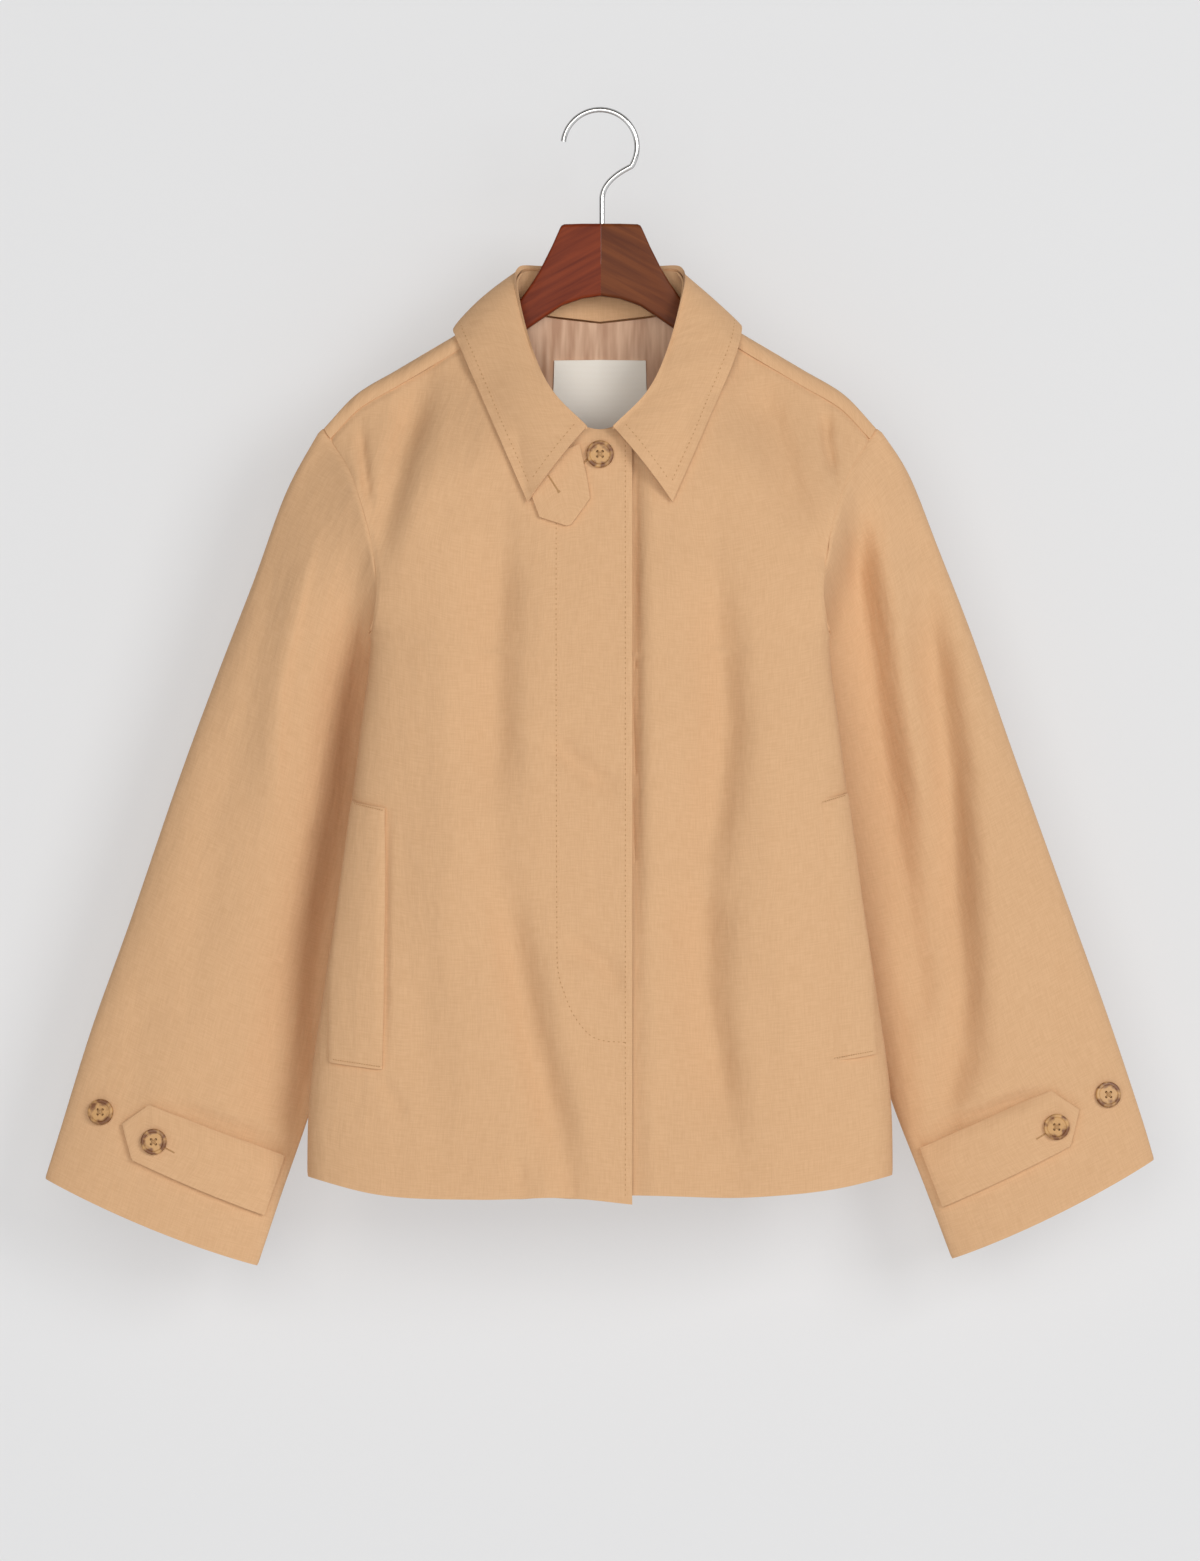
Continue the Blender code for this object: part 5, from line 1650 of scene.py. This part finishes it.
class COAT_OT_stage(bpy.types.Operator):
    """Make the wall and floor, the soft studio light and the camera"""

    bl_idname = "coat.stage"
    bl_label = "Stage"

    def execute(self, context):
        sizes = context.scene.coat_sizes
        wall_y, floor_z, bend, reach = 0.11, -1.35, 0.25, 7.0
        turns = np.linspace(0, math.pi / 2, 13)
        line = [(wall_y, 2.6)]
        line += [
            (wall_y - bend + bend * math.cos(turn), floor_z + bend - bend * math.sin(turn)) for turn in turns
        ]
        line.append((-reach, floor_z))
        points = [(x, y, z) for y, z in line for x in (-reach, reach)]
        faces = [(2 * i, 2 * i + 1, 2 * i + 3, 2 * i + 2) for i in range(len(line) - 1)]
        mesh = bpy.data.meshes.new("backdrop")
        mesh.from_pydata(points, [], faces)
        if mesh.polygons[0].normal.y > 0:
            mesh.flip_normals()
        mesh.shade_smooth()
        backdrop = bpy.data.objects.new("backdrop", mesh)
        mesh.materials.append(painted_wall())
        context.scene.collection.objects.link(backdrop)
        middle = (0, 0, -0.45)
        area_light("key_light", (3.6, -5.4, 1.2), middle, 2.8, 186)
        area_light("fill_light", (-0.8, -4.8, 0.1), middle, 2.8, 86, "#FFFAF4")
        world = bpy.data.worlds.new("studio")
        world.use_nodes = True
        sky = world.node_tree.nodes["Background"]
        fill(world.node_tree, sky, {"Color": linear("#F6F1EA"), "Strength": 0.12})
        context.scene.world = world
        context.scene.view_settings.view_transform = "Standard"
        camera = bpy.data.cameras.new("camera")
        camera.sensor_width = 36
        camera.lens = camera.sensor_width * (sizes.camera_distance - COAT_FRONT) / sizes.view_height
        eye = bpy.data.objects.new("camera", camera)
        eye.location = (0, -sizes.camera_distance, EYE_LEVEL)
        eye.rotation_euler = (math.pi / 2, 0, 0)
        context.scene.collection.objects.link(eye)
        context.scene.camera = eye
        return {"FINISHED"}


class COAT_PT_panel(bpy.types.Panel):
    """Lists the steps that make the coat"""

    bl_idname = "COAT_PT_panel"
    bl_label = "Car coat"
    bl_space_type = "VIEW_3D"
    bl_region_type = "UI"
    bl_category = "Coat"

    def draw(self, context):
        for step in STEPS:
            self.layout.operator(step.bl_idname)


STEPS = (
    COAT_OT_body,
    COAT_OT_sleeves,
    COAT_OT_collar,
    COAT_OT_trims,
    COAT_OT_lining,
    COAT_OT_buttons,
    COAT_OT_stitching,
    COAT_OT_hanger,
    COAT_OT_stage,
)
CLASSES = (CoatColours, CoatSizes, *STEPS, COAT_PT_panel)


def register():
    """Register the classes and hang the settings on the scene."""
    for kind in CLASSES:
        bpy.utils.register_class(kind)
    bpy.types.Scene.coat_colours = bpy.props.PointerProperty(type=CoatColours)
    bpy.types.Scene.coat_sizes = bpy.props.PointerProperty(type=CoatSizes)


def unregister():
    """Undo register."""
    del bpy.types.Scene.coat_sizes
    del bpy.types.Scene.coat_colours
    for kind in reversed(CLASSES):
        bpy.utils.unregister_class(kind)


def main():
    """Make every piece in order."""
    register()
    for step in STEPS:
        group, name = step.bl_idname.split(".")
        getattr(getattr(bpy.ops, group), name)()


if __name__ == "__main__":
    main()
